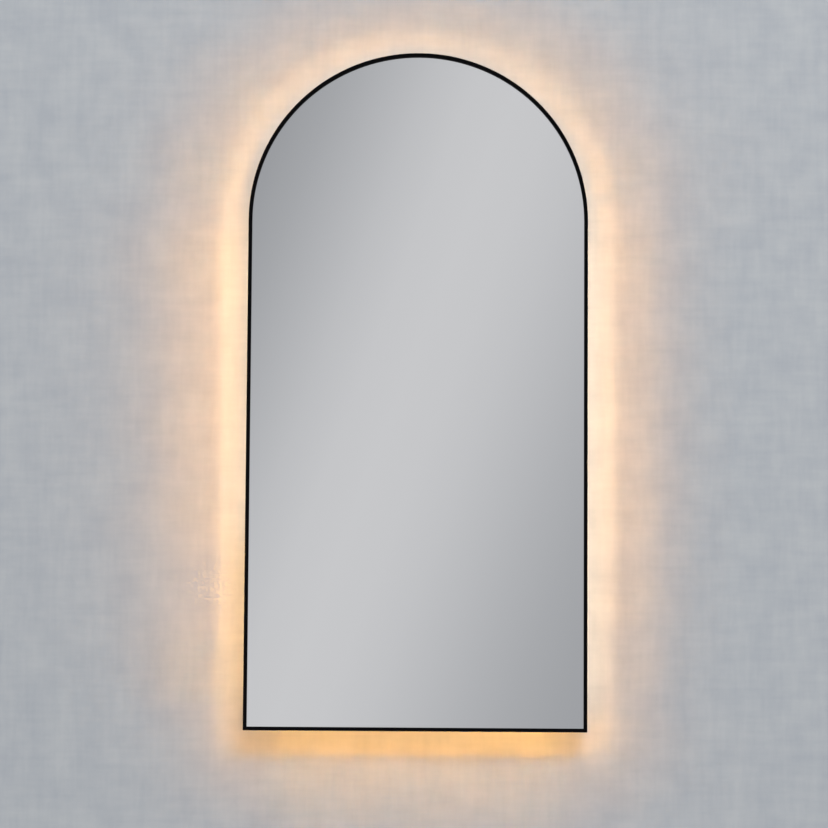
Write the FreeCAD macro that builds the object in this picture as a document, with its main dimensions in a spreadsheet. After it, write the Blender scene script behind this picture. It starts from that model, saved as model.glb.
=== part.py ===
"""Lighted bathroom mirror: an arched glass in a slim black frame, with a ring of light behind it.

Axes: X to the right as seen from the room, Y into the wall, Z up. The origin is the centre of the
arch on the wall plane, midway between the two screw holes of the wall cleat. Millimetres, degrees.

Two words are used throughout. A depth is the distance in front of the wall, so Y is minus the
depth. An inset is the distance inward from the outer face of the frame, in the mirror's plane.
"""
import FreeCAD, Part
import Sketcher
import math
import os
import re

from FreeCAD import Placement, Rotation, Vector

LEFT = "-1"
RIGHT = "1"
SIDES = {"left": LEFT, "right": RIGHT}
TOUCH = 1e-4

# Every size that can be set by itself: its name, its value and what it measures.
SIZES = [
    ("width", 500, "outer width of the frame, twice the radius of its arch"),
    ("height", 1000, "outer height of the frame"),
    ("stand_off", 42, "front of the frame to the wall"),

    ("frame_depth", 26, "front to back of the frame section"),
    ("frame_wall", 1.6, "outer wall of the frame section"),
    ("lip_width", 5.3, "front lip that shows round the glass"),
    ("lip_thickness", 1.5, "front lip"),
    ("ledge_width", 14, "outer face of the frame to the end of the inner ledge"),
    ("ledge_thickness", 1.4, "inner ledge that the back panel is screwed to"),
    ("return_width", 3, "rear return of the frame, inward from its wall"),
    ("return_thickness", 1.5, "rear return of the frame"),
    ("edge_round", 0.5, "rounded front edges of the frame"),

    ("gasket_width", 2.4, "foam gasket between lip and glass"),
    ("gasket_thickness", 0.5, "foam gasket between lip and glass"),
    ("glass_thickness", 4, "mirror glass"),
    ("glass_edge_play", 0.9, "glass to the frame's wall, all round"),
    ("glass_back_play", 0.3, "safety film to the frame's ledge"),
    ("glass_edge_round", 0.5, "pencil polish of the glass"),
    ("film_thickness", 0.3, "safety film on the back of the glass"),
    ("film_margin", 1, "edge of the glass to the edge of the film"),
    ("tape_width", 12, "bonding tape"),
    ("tape_margin", 4, "ledge to the ring of bonding tape"),
    ("tape_bar_x", 112, "upright runs of bonding tape, from the middle"),
    ("tape_bar_reach", 40, "ends of the upright runs to the ring of tape"),

    ("panel_thickness", 1, "steel back panel"),
    ("panel_play", 0.4, "back panel to the frame's wall"),
    ("rim_screw_inset", 8.4, "screws that hold the panel to the frame's ledge"),
    ("arch_screws", 7, "count of such screws round the arch"),
    ("side_screws", 4, "count of such screws down each side"),
    ("bottom_screws", 3, "count of such screws along the bottom"),
    ("side_screw_end", 60, "first and last side screw to the ends of the side"),
    ("bottom_screw_end", 60, "outer bottom screws to the frame's sides"),

    ("key_thickness", 2.8, "corner and splice keys in the frame's groove"),
    ("key_play", 0.1, "keys to the walls of the groove"),
    ("key_leg", 45, "leg of a corner key, from the corner"),
    ("splice_leg", 36, "straight half of a splice key"),
    ("splice_angle", 9, "curved half of a splice key, in degrees of the arch"),
    ("key_screw_radius", 2, "set screws in the keys"),
    ("key_screw_end", 12, "set screws to the ends of a key's legs"),
    ("key_screw_socket", 1, "across the corners of a set screw's socket, halved"),

    ("light_inset", 34, "face of the light to the outer face of the frame"),
    ("channel_height", 18, "light channel, out from the back panel"),
    ("channel_reach", 9, "inside of the light channel, from its mouth to its web"),
    ("channel_web", 1.5, "web and foot of the light channel"),
    ("channel_flange", 1.3, "the two flanges of the light channel"),
    ("channel_foot", 12, "foot of the light channel"),
    ("arch_channel_screws", 6, "count of foot screws round the arch"),
    ("side_channel_screws", 4, "count of foot screws down each side"),
    ("bottom_channel_screws", 3, "count of foot screws along the bottom"),
    ("channel_screw_end", 45, "outer foot screws to the ends of a channel"),
    ("diffuser_face", 1.4, "opal face of the diffuser"),
    ("diffuser_leg", 4, "legs of the diffuser, inward from its face"),
    ("diffuser_leg_wall", 1, "legs of the diffuser"),
    ("diffuser_play", 0.1, "diffuser to the flanges of the channel"),
    ("strip_width", 10, "light strip"),
    ("strip_thickness", 0.3, "light strip"),
    ("strip_corner_gap", 9, "corner of the channel to the end of a strip"),
    ("jumper_width", 4, "flexible link between two strips"),
    ("chip_length", 3.5, "light chip along the strip"),
    ("chip_width", 2.8, "light chip across the strip"),
    ("chip_height", 0.8, "light chip above the strip"),
    ("chip_pitch", 16.67, "one light chip to the next"),

    ("bar_height", 20, "crossbars, out from the back panel"),
    ("bar_top_width", 30, "top of the crossbar's hat section"),
    ("bar_foot", 12, "feet of the crossbar's hat section"),
    ("bar_sheet", 1.5, "sheet of the crossbars"),
    ("bar_end_gap", 22, "end of a crossbar to the foot of the light channel"),
    ("upper_bar_drop", 7, "foot of the upper crossbar below the root of the mirror cleat"),
    ("lower_bar_gap", 54, "lower crossbar to the foot of the bottom channel"),
    ("bar_rivets", 4, "count of rivets along each foot"),
    ("bar_rivet_end", 18, "outer rivets to the ends of a crossbar"),

    ("cleat_sheet", 2.5, "sheet of the two cleats"),
    ("wall_cleat_length", 300, "wall cleat"),
    ("wall_cleat_drop", 15, "lower edge of the wall cleat below its holes"),
    ("wall_cleat_bend", 10, "bend of the wall cleat above its holes"),
    ("wall_screw_spacing", 240, "the two screw holes of the wall cleat"),
    ("wall_screw_radius", 2.75, "screw holes of the wall cleat"),
    ("cleat_gap", 1, "tip of the wall cleat to the crossbar, and of the other to the wall"),
    ("cleat_play", 0.1, "sloping face to sloping face, measured upright"),
    ("mirror_cleat_length", 260, "mirror cleat"),
    ("mirror_cleat_plate", 26, "upright plate of the mirror cleat"),
    ("cleat_rivet_end", 22, "outer rivets to the ends of the mirror cleat"),
    ("cleat_rivets", 4, "count of rivets in the mirror cleat"),

    ("bumper_radius", 12, "rubber bumpers on the lower crossbar"),
    ("bumper_from_end", 34, "bumper to the end of the crossbar"),
    ("bumper_bore", 2.3, "screw hole of a bumper, radius"),
    ("bumper_well", 5, "well for the screw's head, radius"),
    ("bumper_well_depth", 6, "well for the screw's head"),

    ("driver_length", 150, "housing of the light's driver"),
    ("driver_width", 44, "housing of the light's driver, upright"),
    ("component_height", 12, "transformer and capacitors of the driver, the tallest parts"),
    ("component_clear", 0.8, "those parts to the driver's cover"),
    ("driver_split", 10, "base of that housing, out from the panel"),
    ("driver_wall", 1.8, "walls of the driver's housing"),
    ("driver_z", -180, "middle of the driver's housing"),
    ("driver_ear", 15, "screw ears of the driver's housing"),
    ("driver_ear_width", 18, "screw ears of the driver's housing"),
    ("driver_ear_thickness", 2, "screw ears of the driver's housing"),
    ("driver_board_lift", 2, "floor of the housing to the circuit board"),
    ("driver_board", 1.6, "circuit board"),
    ("driver_board_play", 0.5, "circuit board to the housing's walls"),
    ("pillar_radius", 1.8, "pillars under the circuit board"),
    ("driver_lead_room", 10, "end of a lead inside the housing, from its wall"),
    ("component_gap", 8, "one part to the next along the circuit board"),
    ("component_row_gap", 5, "two parts that stand side by side on it"),
    ("transformer_length", 24, "transformer"),
    ("transformer_width", 20, "transformer"),
    ("input_can_radius", 6, "capacitor at the mains side"),
    ("output_can_radius", 5, "capacitor at the light's side"),
    ("choke_length", 12, "choke and bridge"),
    ("choke_width", 8, "choke and bridge"),
    ("choke_height", 5, "choke and bridge"),
    ("fuse_length", 10, "fuse and suppressor"),
    ("fuse_width", 4, "fuse and suppressor"),
    ("fuse_height", 7, "fuse and suppressor"),
    ("driver_vents", 9, "count of vent slots in the driver's cover"),
    ("driver_vent_width", 2, "vent slot"),
    ("driver_vent_length", 22, "vent slot"),
    ("driver_vent_pitch", 6, "one vent slot to the next"),

    ("box_length", 90, "wiring box"),
    ("box_width", 50, "wiring box, upright"),
    ("box_height", 21, "wiring box, out from the panel"),
    ("box_wall", 2, "walls of the wiring box"),
    ("box_below_driver", 48, "wiring box to the driver's housing"),
    ("lid_thickness", 2, "lid of the wiring box"),
    ("lid_play", 0.1, "lid to the rim of the box"),
    ("lid_tab_length", 18, "finger tab of the lid"),
    ("lid_tab_reach", 4, "finger tab of the lid, beyond the box"),
    ("knuckle_radius", 3, "hinge knuckles"),
    ("knuckle_play", 0.3, "hinge knuckles to what turns past them"),
    ("lid_knuckle", 30, "length of the lid's knuckle"),
    ("box_knuckle", 12, "length of each knuckle on the box"),
    ("pin_radius", 1.25, "hinge pin"),
    ("pin_play", 0.15, "hinge pin to the lid's knuckle"),
    ("pin_overhang", 1.5, "hinge pin beyond the knuckles"),

    ("terminal_from_end", 23, "middle of the terminal block, from the right end of the box"),
    ("terminal_length", 32, "terminal block"),
    ("terminal_width", 14, "terminal block, upright"),
    ("terminal_height", 13, "terminal block, out from the box's floor"),
    ("pole_count", 3, "poles of the terminal block"),
    ("pole_pitch", 10, "one pole to the next"),
    ("clamp_radius", 3, "brass clamp of a pole"),
    ("clamp_bore", 1.7, "wire bore of a brass clamp, radius"),
    ("clamp_play", 0.05, "brass clamp to the terminal block"),
    ("clamp_screw_radius", 1.3, "screw of a brass clamp"),
    ("clamp_screw_head", 1.9, "head of that screw, radius"),
    ("clamp_screw_sink", 2.5, "head of that screw below the top of the block"),
    ("box_screw_from_end", 13, "screw through the floor of the box, from its left end"),

    ("grommet_bore", 3.75, "bore of the inlet grommet, radius"),
    ("grommet_wall", 1.5, "inlet grommet between bore and box"),
    ("grommet_flange", 1.5, "flanges of the grommets, outward"),
    ("grommet_flange_thickness", 1.5, "flanges of the grommets"),
    ("grommet_play", 0.05, "grommets to their holes"),
    ("grommet_clear", 0.3, "flange of the inlet grommet to the floor of the box"),
    ("lead_height", 5.8, "middle of the inner leads, out from the panel"),
    ("mains_lead_radius", 3, "lead from the wiring box to the driver"),
    ("mains_lead_shift", 18, "driver end of that lead, to the right of its box end"),
    ("light_lead_radius", 2.2, "lead from the driver to the light strip"),
    ("light_lead_low", 14, "driver end of that lead below the middle of the driver"),
    ("light_lead_drop", 22, "light strip end of that lead below its driver end"),
    ("light_lead_level", 57, "level end of that lead, from the foot of the channel"),
    ("lead_play", 0.1, "leads to the holes that they pass"),
    ("clip_length", 8, "cable clips along the lead"),
    ("clip_side", 3, "cable clips beside and over the lead"),
    ("clip_gap", 8, "middle of the first clip to the foot of the channel"),
    ("clip_pitch", 27, "middle of one clip to the next"),

    ("screw_head", 3, "pan head of the sheet screws, radius"),
    ("screw_head_height", 1.7, "pan head of the sheet screws"),
    ("screw_radius", 1.45, "shank of the sheet screws"),
    ("thread_play", 0.05, "shanks to their holes"),
    ("screw_tip", 1.2, "tips of the long sheet screws beyond what they hold"),
    ("short_tip", 0.1, "ends of the rim screws inside the ledge"),
    ("rivet_head", 3.2, "rivet heads, radius"),
    ("rivet_head_height", 1, "rivet heads"),
    ("rivet_radius", 1.6, "rivet shanks"),
    ("rivet_tail", 0.8, "closed ends of the rivets"),
]

# Places and sizes that follow from the list above.
PLACES = [
    ("half", "width / 2", "outer radius of the arch"),
    ("bottom", "half - height", "lower edge of the frame"),
    ("frame_back", "stand_off - frame_depth", "depth of the frame's rear edge"),
    ("gasket_front", "stand_off - lip_thickness", "depth of the back of the lip"),
    ("glass_front", "gasket_front - gasket_thickness", "depth"),
    ("glass_back", "glass_front - glass_thickness", "depth"),
    ("glass_inset", "frame_wall + glass_edge_play", "edge of the glass"),
    ("film_back", "glass_back - film_thickness", "depth"),
    ("ledge_front", "film_back - glass_back_play", "depth"),
    ("panel_front", "ledge_front - ledge_thickness", "depth, also the ledge's back"),
    ("panel_back", "panel_front - panel_thickness", "depth, where all behind is fixed"),
    ("panel_inset", "frame_wall + panel_play", "edge of the back panel"),
    ("return_back", "frame_back + return_thickness", "depth of the groove's rear wall"),

    ("key_near", "frame_wall + key_play", "inset of a key's outer face"),
    ("key_far", "key_near + key_thickness", "inset of a key's inner face"),
    ("key_back", "return_back + key_play", "depth"),
    ("key_front", "panel_back - key_play", "depth"),
    ("key_middle", "(key_back + key_front) / 2", "depth of the set screws"),

    ("channel_back", "panel_back - channel_height", "depth"),
    ("mouth_back", "channel_back + channel_flange", "depth"),
    ("mouth_front", "panel_back - channel_flange", "depth"),
    ("mouth_middle", "(mouth_back + mouth_front) / 2", "depth of the strips' middle"),
    ("web_inset", "light_inset + channel_reach", "face of the web, where the strips lie"),
    ("foot_inset", "web_inset + channel_web", "back of the web"),
    ("foot_end", "foot_inset + channel_foot", "inner edge of the foot"),
    ("foot_middle", "foot_inset + channel_foot / 2", "inset of the foot screws"),
    ("foot_back", "panel_back - channel_web", "depth of the foot's rear face"),
    ("strip_inset", "web_inset - strip_thickness", "face of the strips"),
    ("diffuser_end", "light_inset + diffuser_face + diffuser_leg", "inset of the legs' ends"),

    ("bar_back", "panel_back - bar_height", "depth of the crossbars' tops"),
    ("bar_foot_back", "panel_back - bar_sheet", "depth of their feet"),
    ("bar_half", "half - foot_end - bar_end_gap", "half their length"),
    ("bar_span", "bar_top_width + 2 * bar_foot", "upright size of a crossbar"),
    ("cleat_tip", "bar_back - cleat_gap", "depth of the wall cleat's tip"),
    ("cleat_thick", "cleat_sheet * sqrt(2)", "a cleat's slope, measured upright"),
    ("cleat_root", "wall_cleat_bend + cleat_play + bar_back", "lower end of the mirror cleat's plate"),
    ("cleat_plate_top", "cleat_root + mirror_cleat_plate", "upper edge of the mirror cleat"),
    ("cleat_rivet_z", "(cleat_root + cleat_plate_top) / 2 + cleat_thick / 2", "rivets"),
    ("upper_bar_z", "cleat_root + cleat_thick - bar_foot - upper_bar_drop / 2", "its lower edge"),
    ("lower_bar_z", "bottom + foot_end + lower_bar_gap", "its lower edge"),
    ("bumper_x", "bar_half - bumper_from_end", "bumpers"),
    ("bumper_z", "lower_bar_z + bar_span / 2", "bumpers"),

    ("driver_low", "driver_z - driver_width / 2", "lower wall of the driver's housing"),
    ("driver_high", "driver_z + driver_width / 2", "upper wall of the driver's housing"),
    ("driver_end", "driver_length / 2", "end walls of the driver's housing"),
    ("driver_seam", "panel_back - driver_split", "depth"),
    ("driver_floor", "panel_back - driver_wall", "depth"),
    ("board_left", "driver_wall + driver_lead_room + driver_board_play - driver_end", "its edge"),
    ("board_low", "driver_low + driver_wall + driver_lead_room + driver_board_play", "its edge"),
    ("board_right", "driver_end - driver_wall - driver_board_play", "its edge"),
    ("board_high", "driver_high - driver_wall - driver_board_play", "its edge"),
    ("board_front", "driver_floor - driver_board_lift", "depth"),
    ("board_back", "board_front - driver_board", "depth"),
    ("driver_back", "board_back - component_height - component_clear - driver_wall", "depth"),
    ("ear_back", "panel_back - driver_ear_thickness", "depth"),
    ("ear_x", "driver_end + driver_ear / 2", "screws in the ears"),

    ("box_high", "driver_low - box_below_driver", "upper wall of the wiring box"),
    ("box_low", "box_high - box_width", "lower wall of the wiring box"),
    ("box_end", "box_length / 2", "end walls of the wiring box"),
    ("box_z", "(box_low + box_high) / 2", "middle of the wiring box"),
    ("box_screw_x", "box_screw_from_end - box_end", "screw through the floor of the box"),
    ("terminal_x", "box_end - terminal_from_end", "middle of the terminal block"),
    ("box_back", "panel_back - box_height", "depth of the box's rim"),
    ("box_floor", "panel_back - box_wall", "depth"),
    ("lid_front", "box_back - lid_play", "depth"),
    ("lid_back", "lid_front - lid_thickness", "depth"),
    ("pin_z", "box_high + knuckle_radius + knuckle_play", "hinge axis"),
    ("terminal_back", "box_floor - terminal_height", "depth"),
    ("terminal_top", "box_z + terminal_width / 2", "upper face of the block"),
    ("clamp_depth", "box_floor - terminal_height / 2", "depth of the clamps' bores"),
    ("grommet_radius", "grommet_bore + grommet_wall", "neck of the inlet grommet"),
    ("grommet_depth", "box_floor - grommet_clear - grommet_radius - grommet_flange", "of the inlet"),
    ("lead_depth", "panel_back - lead_height", "depth of the inner leads"),
    ("lead_neck", "light_lead_radius + lead_play + 1", "neck of the small grommet"),
    ("light_lead_out", "driver_z - light_lead_low", "height of its driver end"),
    ("light_lead_z", "light_lead_out - light_lead_drop", "height where it meets the web"),
    ("foot_edge", "foot_end - half", "X of the left channel's foot, at its inner edge"),
]

doc = FreeCAD.newDocument("LightedMirror")
names = {}


def fill_sheet(sheet_name, rows, formula):
    """Write one sheet: a name, a cell with that alias and a note in each row."""
    sheet = doc.addObject("Spreadsheet::Sheet", sheet_name)
    for row, (alias, content, note) in enumerate(rows, start=1):
        text = "=" + bound(content) if formula else str(content)
        sheet.set(f"A{row}", alias)
        sheet.set(f"B{row}", text)
        sheet.set(f"C{row}", note)
        sheet.setAlias(f"B{row}", alias)
        names[alias] = sheet_name
    doc.recompute()
    return sheet


def bound(expression):
    """The expression with each alias given its sheet's name."""
    def with_sheet(match):
        word = match.group(0)
        return f"{names[word]}.{word}" if word in names else word

    return re.sub(r"[A-Za-z_]+", with_sheet, str(expression))


fill_sheet("Sizes", SIZES, formula=False)
fill_sheet("Places", PLACES, formula=True)
reckoner = doc.addObject("Spreadsheet::Sheet", "Reckoner")


def number(expression):
    """What an expression in the sheets' aliases comes to."""
    reckoner.set("A1", "=" + bound(expression))
    reckoner.recompute()
    return float(reckoner.A1)


def count(alias):
    """A whole number from the sheet."""
    return int(round(number(alias)))


# ---------------------------------------------------------------------------------------------
# Sketches and features
# ---------------------------------------------------------------------------------------------

def new_body(label):
    """An empty body under its own label."""
    body = doc.addObject("PartDesign::Body", label)
    body.Label = label
    body.Placement = Placement()
    return body


def sketch_on(body, plane, offset="0"):
    """A sketch on one of the body's origin planes, moved along the plane's normal."""
    sketch = body.newObject("Sketcher::SketchObject", body.Label + "_sketch")
    origin_plane = next(f for f in body.Origin.OriginFeatures if f.Role == plane)
    sketch.AttachmentSupport = [(origin_plane, "")]
    sketch.MapMode = "FlatFace"
    sketch.setExpression("AttachmentOffset.Base.z", bound(offset))
    return sketch


def constrain(sketch, expression, kind, *elements):
    """Add one dimension to a sketch and bind it to an expression."""
    index = sketch.addConstraint(Sketcher.Constraint(kind, *elements, number(expression)))
    sketch.setExpression(f"Constraints[{index}]", bound(expression))


def polygon(sketch, corners):
    """A closed outline through corners given as pairs of expressions."""
    points = [Vector(number(x), number(y), 0) for x, y in corners]
    first = sketch.GeometryCount
    last = first + len(points) - 1
    for start, end in zip(points, points[1:] + points[:1]):
        sketch.addGeometry(Part.LineSegment(start, end), False)
    for line in range(first, last + 1):
        following = first if line == last else line + 1
        sketch.addConstraint(Sketcher.Constraint("Coincident", line, 2, following, 1))
    for line, (x, y) in enumerate(corners, start=first):
        constrain(sketch, x, "DistanceX", -1, 1, line, 1)
        constrain(sketch, y, "DistanceY", -1, 1, line, 1)


def rectangle(sketch, x_from, x_to, y_from, y_to):
    """A closed outline between two pairs of expressions."""
    polygon(sketch, [(x_from, y_from), (x_to, y_from), (x_to, y_to), (x_from, y_to)])


def circle(sketch, x, y, radius):
    """A circle placed and sized by expressions."""
    centre = Vector(number(x), number(y), 0)
    index = sketch.addGeometry(Part.Circle(centre, Vector(0, 0, 1), number(radius)), False)
    constrain(sketch, radius, "Radius", index)
    constrain(sketch, x, "DistanceX", -1, 1, index, 3)
    constrain(sketch, y, "DistanceY", -1, 1, index, 3)


def arched_outline(sketch, inset):
    """The mirror's outline, drawn inward by an inset: a half circle over three straight edges."""
    radius = f"half - ({inset})"
    reach = number(radius)
    low = number(f"bottom + ({inset})")
    first = sketch.GeometryCount
    base, right, arch, left = range(first, first + 4)
    sketch.addGeometry(Part.LineSegment(Vector(-reach, low, 0), Vector(reach, low, 0)), False)
    sketch.addGeometry(Part.LineSegment(Vector(reach, low, 0), Vector(reach, 0, 0)), False)
    full_circle = Part.Circle(Vector(0, 0, 0), Vector(0, 0, 1), reach)
    sketch.addGeometry(Part.ArcOfCircle(full_circle, 0, math.pi), False)
    sketch.addGeometry(Part.LineSegment(Vector(-reach, 0, 0), Vector(-reach, low, 0)), False)
    for one, end, other, start in ((base, 2, right, 1), (right, 2, arch, 1),
                                   (arch, 2, left, 1), (left, 2, base, 1)):
        sketch.addConstraint(Sketcher.Constraint("Coincident", one, end, other, start))
    sketch.addConstraint(Sketcher.Constraint("Coincident", arch, 3, -1, 1))
    sketch.addConstraint(Sketcher.Constraint("PointOnObject", arch, 1, -1))
    sketch.addConstraint(Sketcher.Constraint("PointOnObject", arch, 2, -1))
    sketch.addConstraint(Sketcher.Constraint("Horizontal", base))
    sketch.addConstraint(Sketcher.Constraint("Vertical", right))
    sketch.addConstraint(Sketcher.Constraint("Vertical", left))
    constrain(sketch, radius, "Radius", arch)
    constrain(sketch, f"bottom + ({inset})", "DistanceY", -1, 1, base, 1)


def pad(body, sketch, length, reverse=False, midplane=False):
    """Raise a sketch by an expression."""
    feature = body.newObject("PartDesign::Pad", body.Label + "_pad")
    feature.Profile = sketch
    feature.setExpression("Length", bound(length))
    feature.Reversed = reverse
    feature.Midplane = midplane
    return feature


def pocket(body, sketch, length, reverse=False, midplane=False):
    """Sink a sketch by an expression."""
    feature = body.newObject("PartDesign::Pocket", body.Label + "_pocket")
    feature.Profile = sketch
    feature.setExpression("Length", bound(length))
    feature.Reversed = reverse
    feature.Midplane = midplane
    return feature


def slab(body, draw, back, front):
    """Add what `draw` outlines on the wall plane, between two depths."""
    sketch = sketch_on(body, "XZ_Plane", back)
    draw(sketch)
    return pad(body, sketch, f"({front}) - ({back})")


def sink(body, draw, back, front):
    """Cut away what `draw` outlines on the wall plane, between two depths."""
    sketch = sketch_on(body, "XZ_Plane", back)
    draw(sketch)
    return pocket(body, sketch, f"({front}) - ({back})", reverse=True)


def turn(body, sketch, angle, reverse=False):
    """Turn a sketch about the arch's axis."""
    feature = body.newObject("PartDesign::Revolution", body.Label + "_turn")
    feature.Profile = sketch
    feature.ReferenceAxis = (sketch, ["V_Axis"])
    feature.setExpression("Angle", bound(angle))
    feature.Reversed = reverse
    return feature


def soften(body, base, chosen, radius):
    """Round the edges of a feature for which `chosen` holds."""
    doc.recompute()
    edges = [f"Edge{i}" for i, edge in enumerate(base.Shape.Edges, start=1) if chosen(edge)]
    feature = body.newObject("PartDesign::Fillet", body.Label + "_round")
    feature.Base = (base, edges)
    feature.setExpression("Radius", bound(radius))
    return feature


def along(edge):
    """A few points on an edge."""
    start, end = edge.ParameterRange
    return [edge.valueAt(start + (end - start) * step / 4) for step in range(5)]


def rim_inset(point):
    """How far a point lies inward from the outer face of the frame."""
    if point.z >= 0:
        return number("half") - math.hypot(point.x, point.z)
    return min(number("half") - abs(point.x), point.z - number("bottom"))


def at_inset(inset, depths):
    """A test for edges that follow the frame at an inset, at one of some depths."""
    inset_value = number(inset)
    depth_values = [number(depth) for depth in depths]

    def chosen(edge):
        points = along(edge)
        level = any(all(abs(p.y + d) < TOUCH for p in points) for d in depth_values)
        return level and all(abs(rim_inset(p) - inset_value) < TOUCH for p in points)

    return chosen


# ---------------------------------------------------------------------------------------------
# Sections that run round the mirror: a profile is a list of (inset, depth)
# ---------------------------------------------------------------------------------------------

def arch_run(label, profile):
    """The half ring of a section over the arch."""
    body = new_body(label)
    section = sketch_on(body, "XY_Plane")
    polygon(section, [(f"half - ({inset})", f"-({depth})") for inset, depth in profile])
    turn(body, section, "180", reverse=True)
    return body


def side_run(label, side, profile, near, far):
    """A section down one side, from the arch to its mitre. Near and far are its insets."""
    body = new_body(label)
    section = sketch_on(body, "XY_Plane")
    polygon(section, [(f"{side} * (half - ({inset}))", f"-({depth})") for inset, depth in profile])
    pad(body, section, f"-bottom - ({near})", reverse=True)
    corner = sketch_on(body, "XZ_Plane")
    polygon(corner, [(f"{side} * (half - ({near}))", f"bottom + ({near})"),
                     (f"{side} * (half - ({far}))", f"bottom + ({far})"),
                     (f"{side} * (half - ({far}))", f"bottom + ({near})")])
    pocket(body, corner, "stand_off", reverse=True)
    return body


def bottom_run(label, profile, near, far):
    """A section along the bottom, mitred at both ends."""
    body = new_body(label)
    section = sketch_on(body, "YZ_Plane")
    polygon(section, [(f"-({depth})", f"bottom + ({inset})") for inset, depth in profile])
    pad(body, section, f"2 * (half - ({near}))", midplane=True)
    for side in SIDES.values():
        corner = sketch_on(body, "XZ_Plane")
        polygon(corner, [(f"{side} * (half - ({near}))", f"bottom + ({near})"),
                         (f"{side} * (half - ({far}))", f"bottom + ({far})"),
                         (f"{side} * (half - ({near}))", f"bottom + ({far})")])
        pocket(body, corner, "stand_off", reverse=True)
    return body


def spread(total, low, high):
    """Evenly spaced places from low to high, as expressions."""
    if total == 1:
        return [f"(({low}) + ({high})) / 2"]
    step = f"(({high}) - ({low})) / {total - 1}"
    return [f"({low}) + {index} * {step}" for index in range(total)]


def arch_places(total, inset):
    """Evenly spaced places round the arch, half a step from its ends."""
    angles = [f"180 deg * {2 * index + 1} / {2 * total}" for index in range(total)]
    return [(f"(half - ({inset})) * cos({angle})", f"(half - ({inset})) * sin({angle})")
            for angle in angles]


def side_places(side, total, inset, end_gap):
    """Evenly spaced places down one side."""
    return [(f"{side} * (half - ({inset}))", z)
            for z in spread(total, f"bottom + ({inset}) + {end_gap}", f"-{end_gap}")]


def bottom_places(total, inset, end_gap):
    """Evenly spaced places along the bottom."""
    reach = f"half - ({inset}) - {end_gap}"
    return [(x, f"bottom + ({inset})") for x in spread(total, f"-({reach})", reach)]


def rim_screw_places():
    """The screws between the back panel and the frame's ledge, for each length of frame."""
    inset = "rim_screw_inset"
    return {
        "arch": arch_places(count("arch_screws"), inset),
        "left": side_places(LEFT, count("side_screws"), inset, "side_screw_end"),
        "right": side_places(RIGHT, count("side_screws"), inset, "side_screw_end"),
        "bottom": bottom_places(count("bottom_screws"), inset, "bottom_screw_end"),
    }


def channel_screw_places():
    """The screws in the foot of the light channel, for each length of channel."""
    inset = "foot_middle"
    return {
        "arch": arch_places(count("arch_channel_screws"), inset),
        "left": side_places(LEFT, count("side_channel_screws"), inset, "channel_screw_end"),
        "right": side_places(RIGHT, count("side_channel_screws"), inset, "channel_screw_end"),
        "bottom": bottom_places(count("bottom_channel_screws"), inset, "channel_screw_end"),
    }


def drill(body, places, radius, back, front):
    """Round holes between two depths."""
    sink(body, lambda sketch: [circle(sketch, x, z, radius) for x, z in places], back, front)


# ---------------------------------------------------------------------------------------------
# Frame
# ---------------------------------------------------------------------------------------------

FRAME_PROFILE = [
    ("0", "frame_back"),
    ("frame_wall + return_width", "frame_back"),
    ("frame_wall + return_width", "return_back"),
    ("frame_wall", "return_back"),
    ("frame_wall", "panel_front"),
    ("ledge_width", "panel_front"),
    ("ledge_width", "ledge_front"),
    ("frame_wall", "ledge_front"),
    ("frame_wall", "gasket_front"),
    ("lip_width", "gasket_front"),
    ("lip_width", "stand_off"),
    ("0", "stand_off"),
]


def finish_frame_length(body, places):
    """Drill a length of frame and round its front edges."""
    drill(body, places, "screw_radius + thread_play", "panel_front", "ledge_front")
    outer = at_inset("0", ["stand_off"])
    inner = at_inset("lip_width", ["stand_off"])
    base = body.Group[-1]
    soften(body, base, lambda edge: outer(edge) or inner(edge), "edge_round")


def frame():
    """Four lengths of one extrusion: the bent arch, two sides and the bottom rail."""
    places = rim_screw_places()
    finish_frame_length(arch_run("frame_arch", FRAME_PROFILE), places["arch"])
    for name, side in SIDES.items():
        body = side_run(f"frame_{name}_side", side, FRAME_PROFILE, "0", "ledge_width")
        finish_frame_length(body, places[name])
    bottom_rail = bottom_run("frame_bottom_rail", FRAME_PROFILE, "0", "ledge_width")
    finish_frame_length(bottom_rail, places["bottom"])


def corner_key(name, side):
    """An angle in the frame's groove that holds the mitre shut."""
    body = new_body(f"corner_key_{name}")

    def outline(sketch):
        far_x, leg_x, near_x = (f"{side} * (half - {inset})"
                                for inset in ("key_far", "key_leg", "key_near"))
        far_z, leg_z, near_z = (f"bottom + {inset}"
                                for inset in ("key_far", "key_leg", "key_near"))
        polygon(sketch, [(near_x, near_z), (leg_x, near_z), (leg_x, far_z),
                         (far_x, far_z), (far_x, leg_z), (near_x, leg_z)])

    slab(body, outline, "key_back", "key_front")
    upright = sketch_on(body, "YZ_Plane")
    circle(upright, "-key_middle", "bottom + key_leg - key_screw_end", "key_screw_radius")
    bore = pocket(body, upright, "half", reverse=(side == RIGHT))
    bore.Type = "ThroughAll"
    level = sketch_on(body, "XY_Plane")
    circle(level, f"{side} * (half - key_leg + key_screw_end)", "-key_middle", "key_screw_radius")
    bore = pocket(body, level, "height")
    bore.Type = "ThroughAll"


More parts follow.
